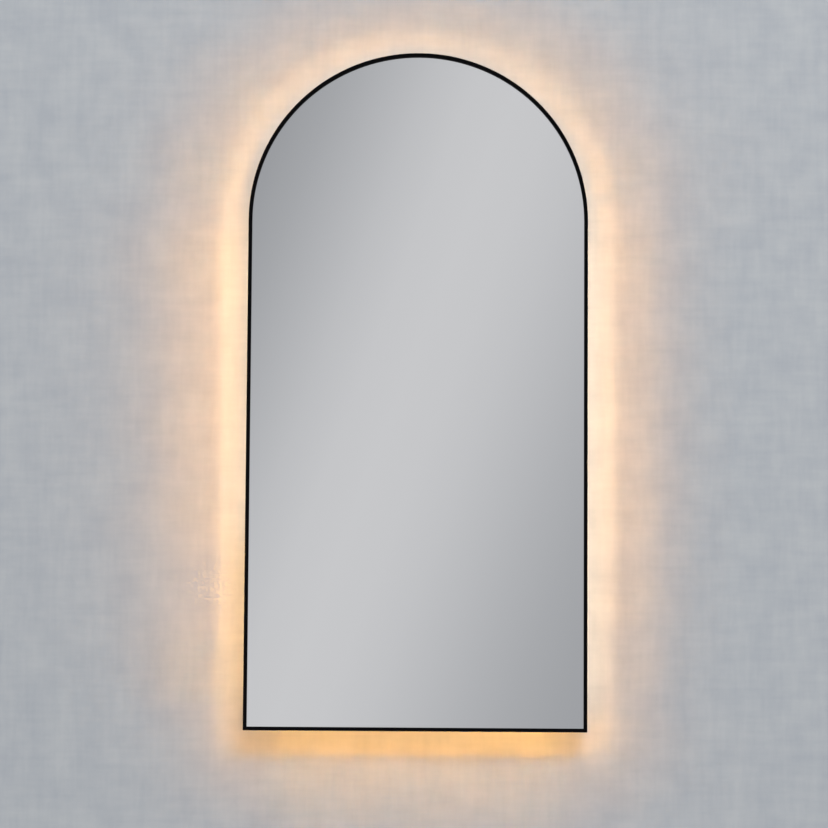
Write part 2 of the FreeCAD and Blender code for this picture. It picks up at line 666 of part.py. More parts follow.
def splice_key(name, side):
    """A bar in the frame's groove that joins the arch to a side, half of it curved."""
    body = new_body(f"splice_key_{name}")
    for part in ("straight", "curved"):
        section = sketch_on(body, "XY_Plane")
        rectangle(section, f"{side} * (half - key_far)", f"{side} * (half - key_near)",
                  "-key_front", "-key_back")
        if part == "straight":
            pad(body, section, "splice_leg", reverse=True)
        else:
            turn(body, section, "splice_angle", reverse=(side == RIGHT))
    bore_sketch = sketch_on(body, "YZ_Plane")
    circle(bore_sketch, "-key_middle", "key_screw_end - splice_leg", "key_screw_radius")
    bore = pocket(body, bore_sketch, "half", reverse=(side == RIGHT))
    bore.Type = "ThroughAll"


def set_screw(from_inset, to_inset):
    """A socket set screw along +X whose tip is at the origin."""
    length = number(f"({to_inset}) - ({from_inset})")
    radius = number("key_screw_radius - thread_play")
    shank = Part.makeCylinder(radius, length, Vector(0, 0, 0), Vector(1, 0, 0))
    reach = number("key_screw_socket")
    corners = [Vector(length, reach * math.cos(math.radians(60 * k)),
                      reach * math.sin(math.radians(60 * k))) for k in range(7)]
    socket = Part.Face(Part.makePolygon(corners)).extrude(Vector(-length / 2, 0, 0))
    return shank.cut(socket)


def key_screws():
    """Set screws that press the keys against the frame's wall."""
    solids = []
    tip, head = "frame_wall", "key_far + key_screw_socket"
    for side in (-1, 1):
        outer = side * number("half - frame_wall")
        inward = Rotation(Vector(1, 0, 0), Vector(-side, 0, 0))
        for z in ("bottom + key_leg - key_screw_end", "key_screw_end - splice_leg"):
            screw = set_screw(tip, head)
            screw.Placement = Placement(Vector(outer, -number("key_middle"), number(z)), inward)
            solids.append(screw)
        screw = set_screw(tip, head)
        x = side * number("half - key_leg + key_screw_end")
        screw.Placement = Placement(Vector(x, -number("key_middle"), number("bottom + frame_wall")),
                                    Rotation(Vector(1, 0, 0), Vector(0, 0, 1)))
        solids.append(screw)
    group("key_screws", solids)


# ---------------------------------------------------------------------------------------------
# Glass and back panel
# ---------------------------------------------------------------------------------------------

def ring(sketch, outer_inset, inner_inset):
    """Two arched outlines, one inside the other."""
    arched_outline(sketch, outer_inset)
    arched_outline(sketch, inner_inset)


def lip_gasket():
    """Thin foam between the frame's lip and the glass."""
    body = new_body("lip_gasket")
    slab(body, lambda sketch: ring(sketch, "glass_inset", "glass_inset + gasket_width"),
         "glass_front", "gasket_front")


def mirror_glass():
    """Silvered glass with a pencil-polished edge."""
    body = new_body("mirror_glass")
    plate = slab(body, lambda sketch: arched_outline(sketch, "glass_inset"),
                 "glass_back", "glass_front")
    soften(body, plate, at_inset("glass_inset", ["glass_back", "glass_front"]), "glass_edge_round")


def safety_film():
    """Film that holds the glass together if it breaks."""
    body = new_body("safety_film")
    slab(body, lambda sketch: arched_outline(sketch, "glass_inset + film_margin"),
         "film_back", "glass_back")


def arched_face(inset):
    """The arched outline as a flat face at depth 0."""
    radius = number(f"half - ({inset})")
    low = number(f"bottom + ({inset})")
    arc = Part.Arc(Vector(radius, 0, 0), Vector(0, 0, radius), Vector(-radius, 0, 0)).toShape()
    edges = [arc,
             Part.makeLine(Vector(-radius, 0, 0), Vector(-radius, 0, low)),
             Part.makeLine(Vector(-radius, 0, low), Vector(radius, 0, low)),
             Part.makeLine(Vector(radius, 0, low), Vector(radius, 0, 0))]
    return Part.Face(Part.Wire(edges))


def bonding_tape():
    """Foam tape between film and panel: a ring and two upright runs."""
    back, front = number("panel_front"), number("film_back")
    ring_inset = number("ledge_width + tape_margin")
    inner_inset = ring_inset + number("tape_width")
    hoop = arched_face(ring_inset).cut(arched_face(inner_inset))
    reach = number("tape_bar_reach")
    half, tape_x, tape_width = number("half"), number("tape_bar_x"), number("tape_width")
    top = math.sqrt((half - inner_inset - reach) ** 2 - tape_x ** 2)
    low = number("bottom") + inner_inset + reach
    solids = [hoop.extrude(Vector(0, back - front, 0)).translated(Vector(0, -back, 0))]
    for side in (-1, 1):
        corner = Vector(side * tape_x - tape_width / 2, -front, low)
        solids.append(Part.makeBox(tape_width, front - back, top - low, corner))
    group("bonding_tape", solids)


def back_panel():
    """Steel panel behind the glass that carries the light and the cleat."""
    body = new_body("back_panel")
    slab(body, lambda sketch: arched_outline(sketch, "panel_inset"), "panel_back", "panel_front")
    screw_hole = "screw_radius + thread_play"
    for places in rim_screw_places().values():
        drill(body, places, screw_hole, "panel_back", "panel_front")
    for places in channel_screw_places().values():
        drill(body, places, screw_hole, "panel_back", "panel_front")
    rivet_hole = "rivet_radius + thread_play"
    for bar_z in ("upper_bar_z", "lower_bar_z"):
        drill(body, bar_rivet_places(bar_z), rivet_hole, "panel_back", "panel_front")
    drill(body, housing_screw_places(), screw_hole, "panel_back", "panel_front")


# ---------------------------------------------------------------------------------------------
# Light
# ---------------------------------------------------------------------------------------------

CHANNEL_PROFILE = [
    ("light_inset", "panel_back"),
    ("foot_end", "panel_back"),
    ("foot_end", "foot_back"),
    ("foot_inset", "foot_back"),
    ("foot_inset", "channel_back"),
    ("light_inset", "channel_back"),
    ("light_inset", "mouth_back"),
    ("web_inset", "mouth_back"),
    ("web_inset", "mouth_front"),
    ("light_inset", "mouth_front"),
]

DIFFUSER_PROFILE = [
    ("light_inset", "mouth_back + diffuser_play"),
    ("light_inset", "mouth_front - diffuser_play"),
    ("diffuser_end", "mouth_front - diffuser_play"),
    ("diffuser_end", "mouth_front - diffuser_play - diffuser_leg_wall"),
    ("light_inset + diffuser_face", "mouth_front - diffuser_play - diffuser_leg_wall"),
    ("light_inset + diffuser_face", "mouth_back + diffuser_play + diffuser_leg_wall"),
    ("diffuser_end", "mouth_back + diffuser_play + diffuser_leg_wall"),
    ("diffuser_end", "mouth_back + diffuser_play"),
]

STRIP_PROFILE = [
    ("strip_inset", "mouth_middle - strip_width / 2"),
    ("web_inset", "mouth_middle - strip_width / 2"),
    ("web_inset", "mouth_middle + strip_width / 2"),
    ("strip_inset", "mouth_middle + strip_width / 2"),
]


def light_channels():
    """Aluminium channel that opens outward, with a foot on the back panel."""
    places = channel_screw_places()
    hole = "screw_radius + thread_play"
    body = arch_run("led_channel_arch", CHANNEL_PROFILE)
    drill(body, places["arch"], hole, "foot_back", "panel_back")
    for name, side in SIDES.items():
        body = side_run(f"led_channel_{name}", side, CHANNEL_PROFILE, "light_inset", "foot_end")
        drill(body, places[name], hole, "foot_back", "panel_back")
        if side == LEFT:
            entry = sketch_on(body, "YZ_Plane", "-(half - web_inset)")
            circle(entry, "-lead_depth", "light_lead_z", "lead_neck + grommet_play")
            pocket(body, entry, "channel_web", reverse=True)
    body = bottom_run("led_channel_bottom", CHANNEL_PROFILE, "light_inset", "foot_end")
    drill(body, places["bottom"], hole, "foot_back", "panel_back")


def diffusers():
    """Opal covers that snap into the mouth of the channel."""
    arch_run("led_diffuser_arch", DIFFUSER_PROFILE)
    for name, side in SIDES.items():
        side_run(f"led_diffuser_{name}", side, DIFFUSER_PROFILE, "light_inset", "diffuser_end")
    bottom_run("led_diffuser_bottom", DIFFUSER_PROFILE, "light_inset", "diffuser_end")


def light_strips():
    """One strip up a side, over the arch and down the other side, and one along the bottom."""
    hoop = new_body("led_strip_hoop")
    section = sketch_on(hoop, "XY_Plane")
    polygon(section, [(f"half - ({inset})", f"-({depth})") for inset, depth in STRIP_PROFILE])
    turn(hoop, section, "180", reverse=True)
    for side in SIDES.values():
        section = sketch_on(hoop, "XY_Plane")
        polygon(section, [(f"{side} * (half - ({inset}))", f"-({depth})")
                          for inset, depth in STRIP_PROFILE])
        pad(hoop, section, "-bottom - web_inset - strip_corner_gap", reverse=True)
    lower = new_body("led_strip_bottom")
    section = sketch_on(lower, "YZ_Plane")
    polygon(section, [(f"-({depth})", f"bottom + ({inset})") for inset, depth in STRIP_PROFILE])
    pad(lower, section, "2 * (half - web_inset - strip_corner_gap)", midplane=True)


def strip_link(name, side):
    """Flexible link round the corner between the two strips."""
    body = new_body(f"strip_link_{name}")

    def outline(sketch):
        near_x, far_x, end_x = (f"{side} * (half - ({inset}))" for inset in
                                ("web_inset", "strip_inset", "web_inset + strip_corner_gap"))
        near_z, far_z, end_z = (f"bottom + {inset}" for inset in
                                ("web_inset", "strip_inset", "web_inset + strip_corner_gap"))
        polygon(sketch, [(far_x, far_z), (end_x, far_z), (end_x, near_z),
                         (near_x, near_z), (near_x, end_z), (far_x, end_z)])

    slab(body, outline, "mouth_middle - jumper_width / 2", "mouth_middle + jumper_width / 2")


def chip():
    """A light chip that faces +X, with the middle of its back at the origin."""
    along_strip, across, height = (number(name) for name in
                                   ("chip_length", "chip_width", "chip_height"))
    corner = Vector(0, -across / 2, -along_strip / 2)
    return Part.makeBox(height, across, along_strip, corner)


def placed_chip(x, z, degrees):
    """A chip on a strip, facing outward at an angle from +X."""
    solid = chip()
    turned = Rotation(Vector(0, 1, 0), -degrees)
    solid.Placement = Placement(Vector(x, -number("mouth_middle"), z), turned)
    return solid


def light_chips():
    """Light chips along both strips."""
    reach = number("half - strip_inset")
    pitch = number("chip_pitch")
    low = number("bottom + web_inset + strip_corner_gap + chip_length")
    hoop = []
    steps = int(math.pi * reach / pitch)
    for step in range(steps):
        angle = 180 * (step + 0.5) / steps
        x, z = (reach * f(math.radians(angle)) for f in (math.cos, math.sin))
        hoop.append(placed_chip(x, z, angle))
    for row in range(int(-low / pitch)):
        z = -pitch * (row + 0.5)
        hoop.append(placed_chip(reach, z, 0))
        hoop.append(placed_chip(-reach, z, 180))
    group("led_chips_hoop", hoop)
    span = number("2 * (half - web_inset - strip_corner_gap) - chip_length")
    total = int(span / pitch)
    z = number("bottom + strip_inset")
    group("led_chips_bottom",
          [placed_chip(pitch * (row - (total - 1) / 2), z, -90) for row in range(total)])


# ---------------------------------------------------------------------------------------------
# Crossbars, cleats and bumpers
# ---------------------------------------------------------------------------------------------

def bar_rivet_places(bar_z):
    """Rivets through both feet of a crossbar."""
    reach = "bar_half - bar_rivet_end"
    return [(x, z) for x in spread(count("bar_rivets"), f"-({reach})", reach)
            for z in (f"{bar_z} + bar_foot / 2", f"{bar_z} + bar_span - bar_foot / 2")]


def cleat_rivet_places():
    """Rivets through the plate of the mirror cleat."""
    reach = "mirror_cleat_length / 2 - cleat_rivet_end"
    return [(x, "cleat_rivet_z") for x in spread(count("cleat_rivets"), f"-({reach})", reach)]


def bumper_places():
    """The two bumpers on the lower crossbar."""
    return [(f"{side} * bumper_x", "bumper_z") for side in SIDES.values()]


def crossbar(label, bar_z, places, radius):
    """A hat section across the back panel, drilled through its top for what it carries."""
    body = new_body(label)
    section = sketch_on(body, "YZ_Plane")
    low_foot, high_foot = f"{bar_z} + bar_foot", f"{bar_z} + bar_span - bar_foot"
    polygon(section, [
        ("-panel_back", bar_z), ("-bar_foot_back", bar_z),
        ("-bar_foot_back", low_foot), ("-bar_back", low_foot),
        ("-bar_back", high_foot), ("-bar_foot_back", high_foot),
        ("-bar_foot_back", f"{bar_z} + bar_span"), ("-panel_back", f"{bar_z} + bar_span"),
        ("-panel_back", f"{high_foot} - bar_sheet"),
        ("-(bar_back + bar_sheet)", f"{high_foot} - bar_sheet"),
        ("-(bar_back + bar_sheet)", f"{low_foot} + bar_sheet"),
        ("-panel_back", f"{low_foot} + bar_sheet"),
    ])
    pad(body, section, "2 * bar_half", midplane=True)
    drill(body, bar_rivet_places(bar_z), "rivet_radius + thread_play", "bar_foot_back", "panel_back")
    drill(body, places, radius, "bar_back", "bar_back + bar_sheet")


def crossbars():
    """The upper bar carries the mirror cleat and the lower one the bumpers."""
    crossbar("upper_crossbar", "upper_bar_z", cleat_rivet_places(), "rivet_radius + thread_play")
    crossbar("lower_crossbar", "lower_bar_z", bumper_places(), "screw_radius + thread_play")


def wall_cleat():
    """The rail on the wall, whose upper edge leans out at 45 degrees."""
    body = new_body("wall_cleat")
    section = sketch_on(body, "YZ_Plane")
    tip_z = "wall_cleat_bend + cleat_tip"
    polygon(section, [
        ("0", "-wall_cleat_drop"), ("0", "wall_cleat_bend"),
        ("-cleat_tip", tip_z), ("-cleat_tip", f"{tip_z} - cleat_thick"),
        ("-cleat_sheet", "wall_cleat_bend + cleat_sheet - cleat_thick"),
        ("-cleat_sheet", "-wall_cleat_drop"),
    ])
    pad(body, section, "wall_cleat_length", midplane=True)
    drill(body, [(f"{side} * wall_screw_spacing / 2", "0") for side in SIDES.values()],
          "wall_screw_radius", "0", "cleat_sheet")


def mirror_cleat():
    """The rail on the mirror, whose lower edge hooks behind that of the wall cleat."""
    body = new_body("mirror_cleat")
    section = sketch_on(body, "YZ_Plane")
    tip_z = "cleat_root - bar_back + cleat_gap"
    polygon(section, [
        ("-bar_back", "cleat_root"), ("-cleat_gap", tip_z),
        ("-cleat_gap", f"{tip_z} + cleat_thick"),
        ("-(bar_back - cleat_sheet)", "cleat_root - cleat_sheet + cleat_thick"),
        ("-(bar_back - cleat_sheet)", "cleat_plate_top"), ("-bar_back", "cleat_plate_top"),
    ])
    pad(body, section, "mirror_cleat_length", midplane=True)
    drill(body, cleat_rivet_places(), "rivet_radius + thread_play",
          "bar_back - cleat_sheet", "bar_back")


def bumper(name, side):
    """A rubber foot that keeps the lower edge parallel to the wall."""
    body = new_body(f"bumper_{name}")
    x, z = f"{side} * bumper_x", "bumper_z"
    slab(body, lambda sketch: circle(sketch, x, z, "bumper_radius"), "0", "bar_back")
    drill(body, [(x, z)], "bumper_well", "0", "bumper_well_depth")
    drill(body, [(x, z)], "bumper_bore", "bumper_well_depth", "bar_back")


# ---------------------------------------------------------------------------------------------
# Driver and wiring box
# ---------------------------------------------------------------------------------------------

def housing_screw_places():
    """Screws that hold the driver and the wiring box to the back panel."""
    ears = [(f"{side} * ear_x", "driver_z") for side in SIDES.values()]
    return ears + [("box_screw_x", "box_z")]


def driver_base():
    """Lower shell of the driver's housing, with a screw ear at each end."""
    body = new_body("driver_base")
    wall = "driver_wall"
    slab(body, lambda s: rectangle(s, "-driver_end", "driver_end", "driver_low", "driver_high"),
         "driver_seam", "panel_back")
    reach = "driver_end + driver_ear"
    slab(body, lambda s: rectangle(s, f"-({reach})", reach, "driver_z - driver_ear_width / 2",
                                   "driver_z + driver_ear_width / 2"), "ear_back", "panel_back")
    sink(body, lambda s: rectangle(s, f"{wall} - driver_end", f"driver_end - {wall}",
                                   f"driver_low + {wall}", f"driver_high - {wall}"),
         "driver_seam", "driver_floor")
    drill(body, housing_screw_places()[:2], "screw_radius + thread_play", "ear_back", "panel_back")
    entry = sketch_on(body, "XY_Plane", "driver_low")
    circle(entry, "terminal_x + mains_lead_shift", "-lead_depth", "mains_lead_radius + lead_play")
    pocket(body, entry, wall, reverse=True)
    outlet = sketch_on(body, "YZ_Plane", "-driver_end")
    circle(outlet, "-lead_depth", "light_lead_out", "light_lead_radius + lead_play")
    pocket(body, outlet, wall, reverse=True)


def driver_cover():
    """Upper shell of the driver's housing, with a row of vent slots."""
    body = new_body("driver_cover")
    wall = "driver_wall"
    slab(body, lambda s: rectangle(s, "-driver_end", "driver_end", "driver_low", "driver_high"),
         "driver_back", "driver_seam")
    sink(body, lambda s: rectangle(s, f"{wall} - driver_end", f"driver_end - {wall}",
                                   f"driver_low + {wall}", f"driver_high - {wall}"),
         f"driver_back + {wall}", "driver_seam")
    vents = count("driver_vents")

    def slots(sketch):
        for index in range(vents):
            middle = f"driver_vent_pitch * {index - (vents - 1) / 2}"
            rectangle(sketch, f"{middle} - driver_vent_width / 2",
                      f"{middle} + driver_vent_width / 2",
                      "driver_z - driver_vent_length / 2", "driver_z + driver_vent_length / 2")

    sink(body, slots, "driver_back", f"driver_back + {wall}")


def driver_board():
    """Circuit board on low pillars of the housing's floor, clear of the ends of the leads."""
    body = new_body("driver_board")
    slab(body, lambda s: rectangle(s, "board_left", "board_right", "board_low", "board_high"),
         "board_back", "board_front")


def board_pillars():
    """Spacers between the housing's floor and the circuit board."""
    radius = number("pillar_radius")
    back, front = number("board_front"), number("driver_floor")
    solids = []
    for x in (number("board_left") + 2 * radius, number("board_right") - 2 * radius):
        for z in (number("board_low") + 2 * radius, number("board_high") - 2 * radius):
            foot = Vector(x, -front, z)
            solids.append(Part.makeCylinder(radius, front - back, foot, Vector(0, 1, 0)))
    group("board_pillars", solids)


def driver_components():
    """What stands on the circuit board: a transformer between two cans, and a pair at each end."""
    board = number("board_back")
    middle = Vector(number("(board_left + board_right) / 2"), -board,
                    number("(board_low + board_high) / 2"))

    def block(x, z, kind):
        length, width = number(f"{kind}_length"), number(f"{kind}_width")
        height = number("component_height" if kind == "transformer" else f"{kind}_height")
        corner = middle + Vector(number(x) - length / 2, 0, number(z) - width / 2)
        return Part.makeBox(length, height, width, corner)

    def can(x, radius):
        foot = middle + Vector(number(x), 0, 0)
        return Part.makeCylinder(number(radius), number("component_height"), foot, Vector(0, 1, 0))

    solids = [block("0", "0", "transformer")]
    for side, radius in ((LEFT, "input_can_radius"), (RIGHT, "output_can_radius")):
        beside = f"transformer_length / 2 + component_gap + {radius}"
        beyond = f"{beside} + {radius} + component_gap + choke_length / 2"
        solids.append(can(f"{side} * ({beside})", radius))
        solids.append(block(f"{side} * ({beyond})", "-(component_row_gap + choke_width) / 2", "choke"))
        solids.append(block(f"{side} * ({beyond})", "(component_row_gap + fuse_width) / 2", "fuse"))
    group("driver_components", solids)


def box_base():
    """The wiring box, with two hinge knuckles on its upper wall."""
    body = new_body("wiring_box")
    wall = "box_wall"
    slab(body, lambda s: rectangle(s, "-box_end", "box_end", "box_low", "box_high"),
         "box_back", "panel_back")
    sink(body, lambda s: rectangle(s, f"{wall} - box_end", f"box_end - {wall}",
                                   f"box_low + {wall}", f"box_high - {wall}"),
         "box_back", "box_floor")
    for side in SIDES.values():
        start = f"{side} * (lid_knuckle / 2 + knuckle_play)"
        for outline in ("web", "barrel"):
            sketch = sketch_on(body, "YZ_Plane", start)
            if outline == "web":
                rectangle(sketch, "-(box_back + knuckle_radius)", "-box_back", "box_high", "pin_z")
            else:
                circle(sketch, "-box_back", "pin_z", "knuckle_radius")
            pad(body, sketch, "box_knuckle", reverse=(side == LEFT))
    bore_sketch = sketch_on(body, "YZ_Plane")
    circle(bore_sketch, "-box_back", "pin_z", "pin_radius + thread_play")
    pocket(body, bore_sketch, "box_length", midplane=True)
    inlet = sketch_on(body, "XY_Plane", "box_low")
    circle(inlet, "terminal_x", "-grommet_depth", "grommet_radius + grommet_play")
    pocket(body, inlet, wall, reverse=True)
    outlet = sketch_on(body, "XY_Plane", "box_high")
    circle(outlet, "terminal_x", "-lead_depth", "mains_lead_radius + lead_play")
    pocket(body, outlet, wall)
    drill(body, housing_screw_places()[2:], "screw_radius + thread_play", "box_floor", "panel_back")


def box_lid():
    """Hinged lid of the wiring box, with a finger tab."""
    body = new_body("box_lid")
    slab(body, lambda s: rectangle(s, "-box_end", "box_end", "box_low", "box_high"),
         "lid_back", "lid_front")
    slab(body, lambda s: rectangle(s, "-lid_tab_length / 2", "lid_tab_length / 2",
                                   "box_low - lid_tab_reach", "box_low"), "lid_back", "lid_front")
    for outline in ("web", "barrel"):
        sketch = sketch_on(body, "YZ_Plane")
        if outline == "web":
            rectangle(sketch, "-lid_front", "-lid_back", "box_high", "pin_z")
        else:
            circle(sketch, "-box_back", "pin_z", "knuckle_radius")
        pad(body, sketch, "lid_knuckle", midplane=True)
    bore_sketch = sketch_on(body, "YZ_Plane")
    circle(bore_sketch, "-box_back", "pin_z", "pin_radius + pin_play")
    pocket(body, bore_sketch, "box_length", midplane=True)


def hinge_pin():
    """Steel pin through the knuckles of the box and of its lid."""
    body = new_body("hinge_pin")
    sketch = sketch_on(body, "YZ_Plane")
    circle(sketch, "-box_back", "pin_z", "pin_radius")
    pad(body, sketch, "lid_knuckle + 2 * (knuckle_play + box_knuckle + pin_overhang)",
        midplane=True)


def pole_places():
    """The X of each pole of the terminal block."""
    poles = count("pole_count")
    return [f"terminal_x + pole_pitch * {index - (poles - 1) / 2}" for index in range(poles)]


def terminal_block():
    """Plastic block with an upright bore for each clamp and wells for its two screws."""
    body = new_body("terminal_block")
    slab(body, lambda s: rectangle(s, "terminal_x - terminal_length / 2",
                                   "terminal_x + terminal_length / 2",
                                   "box_z - terminal_width / 2", "terminal_top"),
         "terminal_back", "box_floor")
    bores = sketch_on(body, "XY_Plane", "box_z")
    for x in pole_places():
        circle(bores, x, "-clamp_depth", "clamp_radius + clamp_play")
    pocket(body, bores, "terminal_width + 1", midplane=True)
    drill(body, clamp_screw_places(), "clamp_screw_head + thread_play",
          "terminal_back", "clamp_depth - clamp_radius / 2")


def clamp_screw_places():
    """Two screws for each clamp."""
    return [(x, f"box_z + {side} * terminal_width / 4")
            for x in pole_places() for side in SIDES.values()]


def terminal_clamps():
    """Brass tubes that take the wires."""
    length = number("terminal_width")
    outer, inner = number("clamp_radius"), number("clamp_bore")
    low = number("box_z") - length / 2
    solids = []
    for x in pole_places():
        foot = Vector(number(x), -number("clamp_depth"), low)
        tube = Part.makeCylinder(outer, length, foot).cut(Part.makeCylinder(inner, length, foot))
        for screw_x, screw_z in clamp_screw_places():
            if screw_x == x:
                seat = Vector(number(x), -number("clamp_depth"), number(screw_z))
                hole = number("clamp_screw_radius + thread_play")
                tube = tube.cut(Part.makeCylinder(hole, outer + 1, seat, Vector(0, 1, 0)))
        solids.append(tube)
    group("terminal_clamps", solids)


def terminal_screws():
    """Slotted screws that pinch the wires in the clamps."""
    tip = number("clamp_depth")
    seat = number("clamp_depth - clamp_radius - thread_play")
    top = number("terminal_back + clamp_screw_sink")
    head, shank = number("clamp_screw_head"), number("clamp_screw_radius")
    slot = head / 3
    solids = []
    for x, z in clamp_screw_places():
        foot = Vector(number(x), -tip, number(z))
        screw = Part.makeCylinder(shank, tip - seat, foot, Vector(0, 1, 0))
        screw = screw.fuse(Part.makeCylinder(head, seat - top, foot + Vector(0, tip - seat, 0),
                                             Vector(0, 1, 0)))
        groove = Part.makeBox(4 * head, slot, slot, foot + Vector(-2 * head, tip - top - slot,
                                                                  -slot / 2))
        solids.append(screw.cut(groove))
    group("terminal_screws", solids)


def inlet_grommet():
    """Rubber ring in the lower wall of the wiring box, where the supply cord comes in."""
    body = new_body("inlet_grommet")
    flange = "grommet_flange_thickness"

    def disc(start, length, radius):
        sketch = sketch_on(body, "XY_Plane", start)
        circle(sketch, "terminal_x", "-grommet_depth", radius)
        pad(body, sketch, length)

    disc(f"box_low - {flange}", f"box_wall + 2 * {flange}", "grommet_radius")
    disc(f"box_low - {flange}", flange, "grommet_radius + grommet_flange")
    disc("box_low + box_wall", flange, "grommet_radius + grommet_flange")
    bore_sketch = sketch_on(body, "XY_Plane", f"box_low - {flange}")
    circle(bore_sketch, "terminal_x", "-grommet_depth", "grommet_bore")
    pocket(body, bore_sketch, f"box_wall + 2 * {flange}", reverse=True)


def lead_grommet():
    """Small rubber ring in the web of the left channel, flush on the strip's side."""
    body = new_body("lead_grommet")
    web = "-(half - web_inset)"
    sketch = sketch_on(body, "YZ_Plane", web)
    circle(sketch, "-lead_depth", "light_lead_z", "lead_neck")
    pad(body, sketch, "channel_web + grommet_flange_thickness")
    sketch = sketch_on(body, "YZ_Plane", "-(half - foot_inset)")
    circle(sketch, "-lead_depth", "light_lead_z", "lead_neck + grommet_flange / 2")
    pad(body, sketch, "grommet_flange_thickness")
    bore_sketch = sketch_on(body, "YZ_Plane", web)
    circle(bore_sketch, "-lead_depth", "light_lead_z", "light_lead_radius + lead_play")
    pocket(body, bore_sketch, "channel_web + grommet_flange_thickness", reverse=True)


def lead_tube(label, radius, corners):
    """A round lead: straight runs between corners, joined by tangent arcs.

    Each arc's radius is 0.45 of its shorter run, divided by the tangent of half the turn.
    """
    edges = []
    start = corners[0]
    radii = []
    for before, corner, after in zip(corners, corners[1:], corners[2:]):
        run_in, run_out = corner - before, after - corner
        half_turn = run_in.getAngle(run_out) / 2
        setback = 0.45 * min(run_in.Length, run_out.Length)
        radii.append(setback / math.tan(half_turn))
        enter = corner - run_in.normalize() * setback
        leave = corner + run_out.normalize() * setback
        to_middle = (enter + leave) / 2 - corner
        bow = radii[-1] / math.cos(half_turn) - radii[-1]
        middle = corner + to_middle.normalize() * bow
        edges.append(Part.makeLine(start, enter))
        edges.append(Part.Arc(enter, middle, leave).toShape())
        start = leave
    edges.append(Part.makeLine(start, corners[-1]))
    path = Part.Wire(edges)
    heading = corners[1] - corners[0]
    section = Part.Wire([Part.Circle(corners[0], heading, radius).toShape()])
    tube = path.makePipeShell([section], True, True)
    expected = math.pi * radius ** 2 * path.Length
    arcs = ", ".join(f"{value:.1f}" for value in radii)
    print(f"{label}: length {path.Length:.1f}, arcs of {arcs}, "
          f"volume {tube.Volume / expected:.5f} of section times length")
    group(label, tube.Solids)


def mains_lead():
    """From the terminal block up into the driver."""
    depth = number("lead_depth")
    low_x, high_x = number("terminal_x"), number("terminal_x + mains_lead_shift")
    outside = 10
    heights = (number("terminal_top"), number("box_high") + outside,
               number("driver_low") - outside, number("driver_low + driver_wall + driver_lead_room"))
    xs = (low_x, low_x, high_x, high_x)
    lead_tube("mains_lead", number("mains_lead_radius"),
              [Vector(x, -depth, z) for x, z in zip(xs, heights)])


def light_lead_corners():
    """The light lead's route, from the driver's left end to the web of the left channel."""
    depth = number("lead_depth")
    high, low = number("light_lead_out"), number("light_lead_z")
    inside, end = number("driver_wall + driver_lead_room - driver_end"), number("-driver_end")
    level = number("foot_edge + light_lead_level")
    return [Vector(inside, -depth, high), Vector((end + level) / 2, -depth, high),
            Vector(level, -depth, low), Vector(number("web_inset - half"), -depth, low)]


def light_lead():
    """From the driver to the back of the light strip."""
    lead_tube("light_lead", number("light_lead_radius"), light_lead_corners())


def cable_clips():
    """Clips that hold the light lead on the back panel."""
    radius = number("light_lead_radius + lead_play")
    side, length = number("clip_side"), number("clip_length")
    depth, front, z = number("lead_depth"), number("panel_back"), number("light_lead_z")
    back = depth - radius - side / 2
    solids = []
    for x in ("foot_edge + clip_gap", "foot_edge + clip_gap + clip_pitch"):
        start = number(x) - length / 2
        corner = Vector(start, -front, z - radius - side)
        block = Part.makeBox(length, front - back, 2 * (radius + side), corner)
        bore = Part.makeCylinder(radius, length, Vector(start, -depth, z), Vector(1, 0, 0))
        solids.append(block.cut(bore))
    group("cable_clips", solids)


# ---------------------------------------------------------------------------------------------
# Fasteners
# ---------------------------------------------------------------------------------------------

def group(label, solids):
    """One labelled object of separate solids."""
    feature = doc.addObject("Part::Feature", label)
    feature.Label = label
    feature.Shape = Part.makeCompound(solids)
    feature.Placement = Placement()


def pan_screw(length):
    """A pan-head sheet screw with a cross recess. Its head bears on the plane y = 0."""
    head, height = number("screw_head"), number("screw_head_height")
    cap = Part.makeCylinder(head, height, Vector(0, 0, 0), Vector(0, 1, 0))
    rim = [edge for edge in cap.Edges if all(abs(p.y - height) < TOUCH for p in along(edge))]
    cap = cap.makeFillet(height / 2, rim)
    shank = Part.makeCylinder(number("screw_radius"), length, Vector(0, 0, 0), Vector(0, -1, 0))
    arm, slot, sunk = head, head / 5, height * 0.6
    cross = [Part.makeBox(arm, sunk, slot, Vector(-arm / 2, height - sunk, -slot / 2)),
             Part.makeBox(slot, sunk, arm, Vector(-slot / 2, height - sunk, -arm / 2))]
    return cap.fuse(shank).cut(cross[0]).cut(cross[1])


def rivet(grip):
    """A blind rivet with a domed head that bears on the plane y = 0."""
    head, height = number("rivet_head"), number("rivet_head_height")
    shank, tail = number("rivet_radius"), number("rivet_tail")
    dome_radius = (head ** 2 + height ** 2) / (2 * height)
    dome = Part.makeSphere(dome_radius, Vector(0, height - dome_radius, 0))
    cap = Part.makeCylinder(head, height, Vector(0, 0, 0), Vector(0, 1, 0)).common(dome)
    body = Part.makeCylinder(shank, grip, Vector(0, 0, 0), Vector(0, -1, 0))
    closed = Part.makeCylinder(1.5 * shank, tail, Vector(0, -grip, 0), Vector(0, -1, 0))
    return cap.fuse(body).fuse(closed).removeSplitter()


def fastener_group(label, solid, places, seat):
    """Copies of one fastener with their heads at a depth."""
    depth = number(seat)
    group(label, [solid.translated(Vector(number(x), -depth, number(z))) for x, z in places])


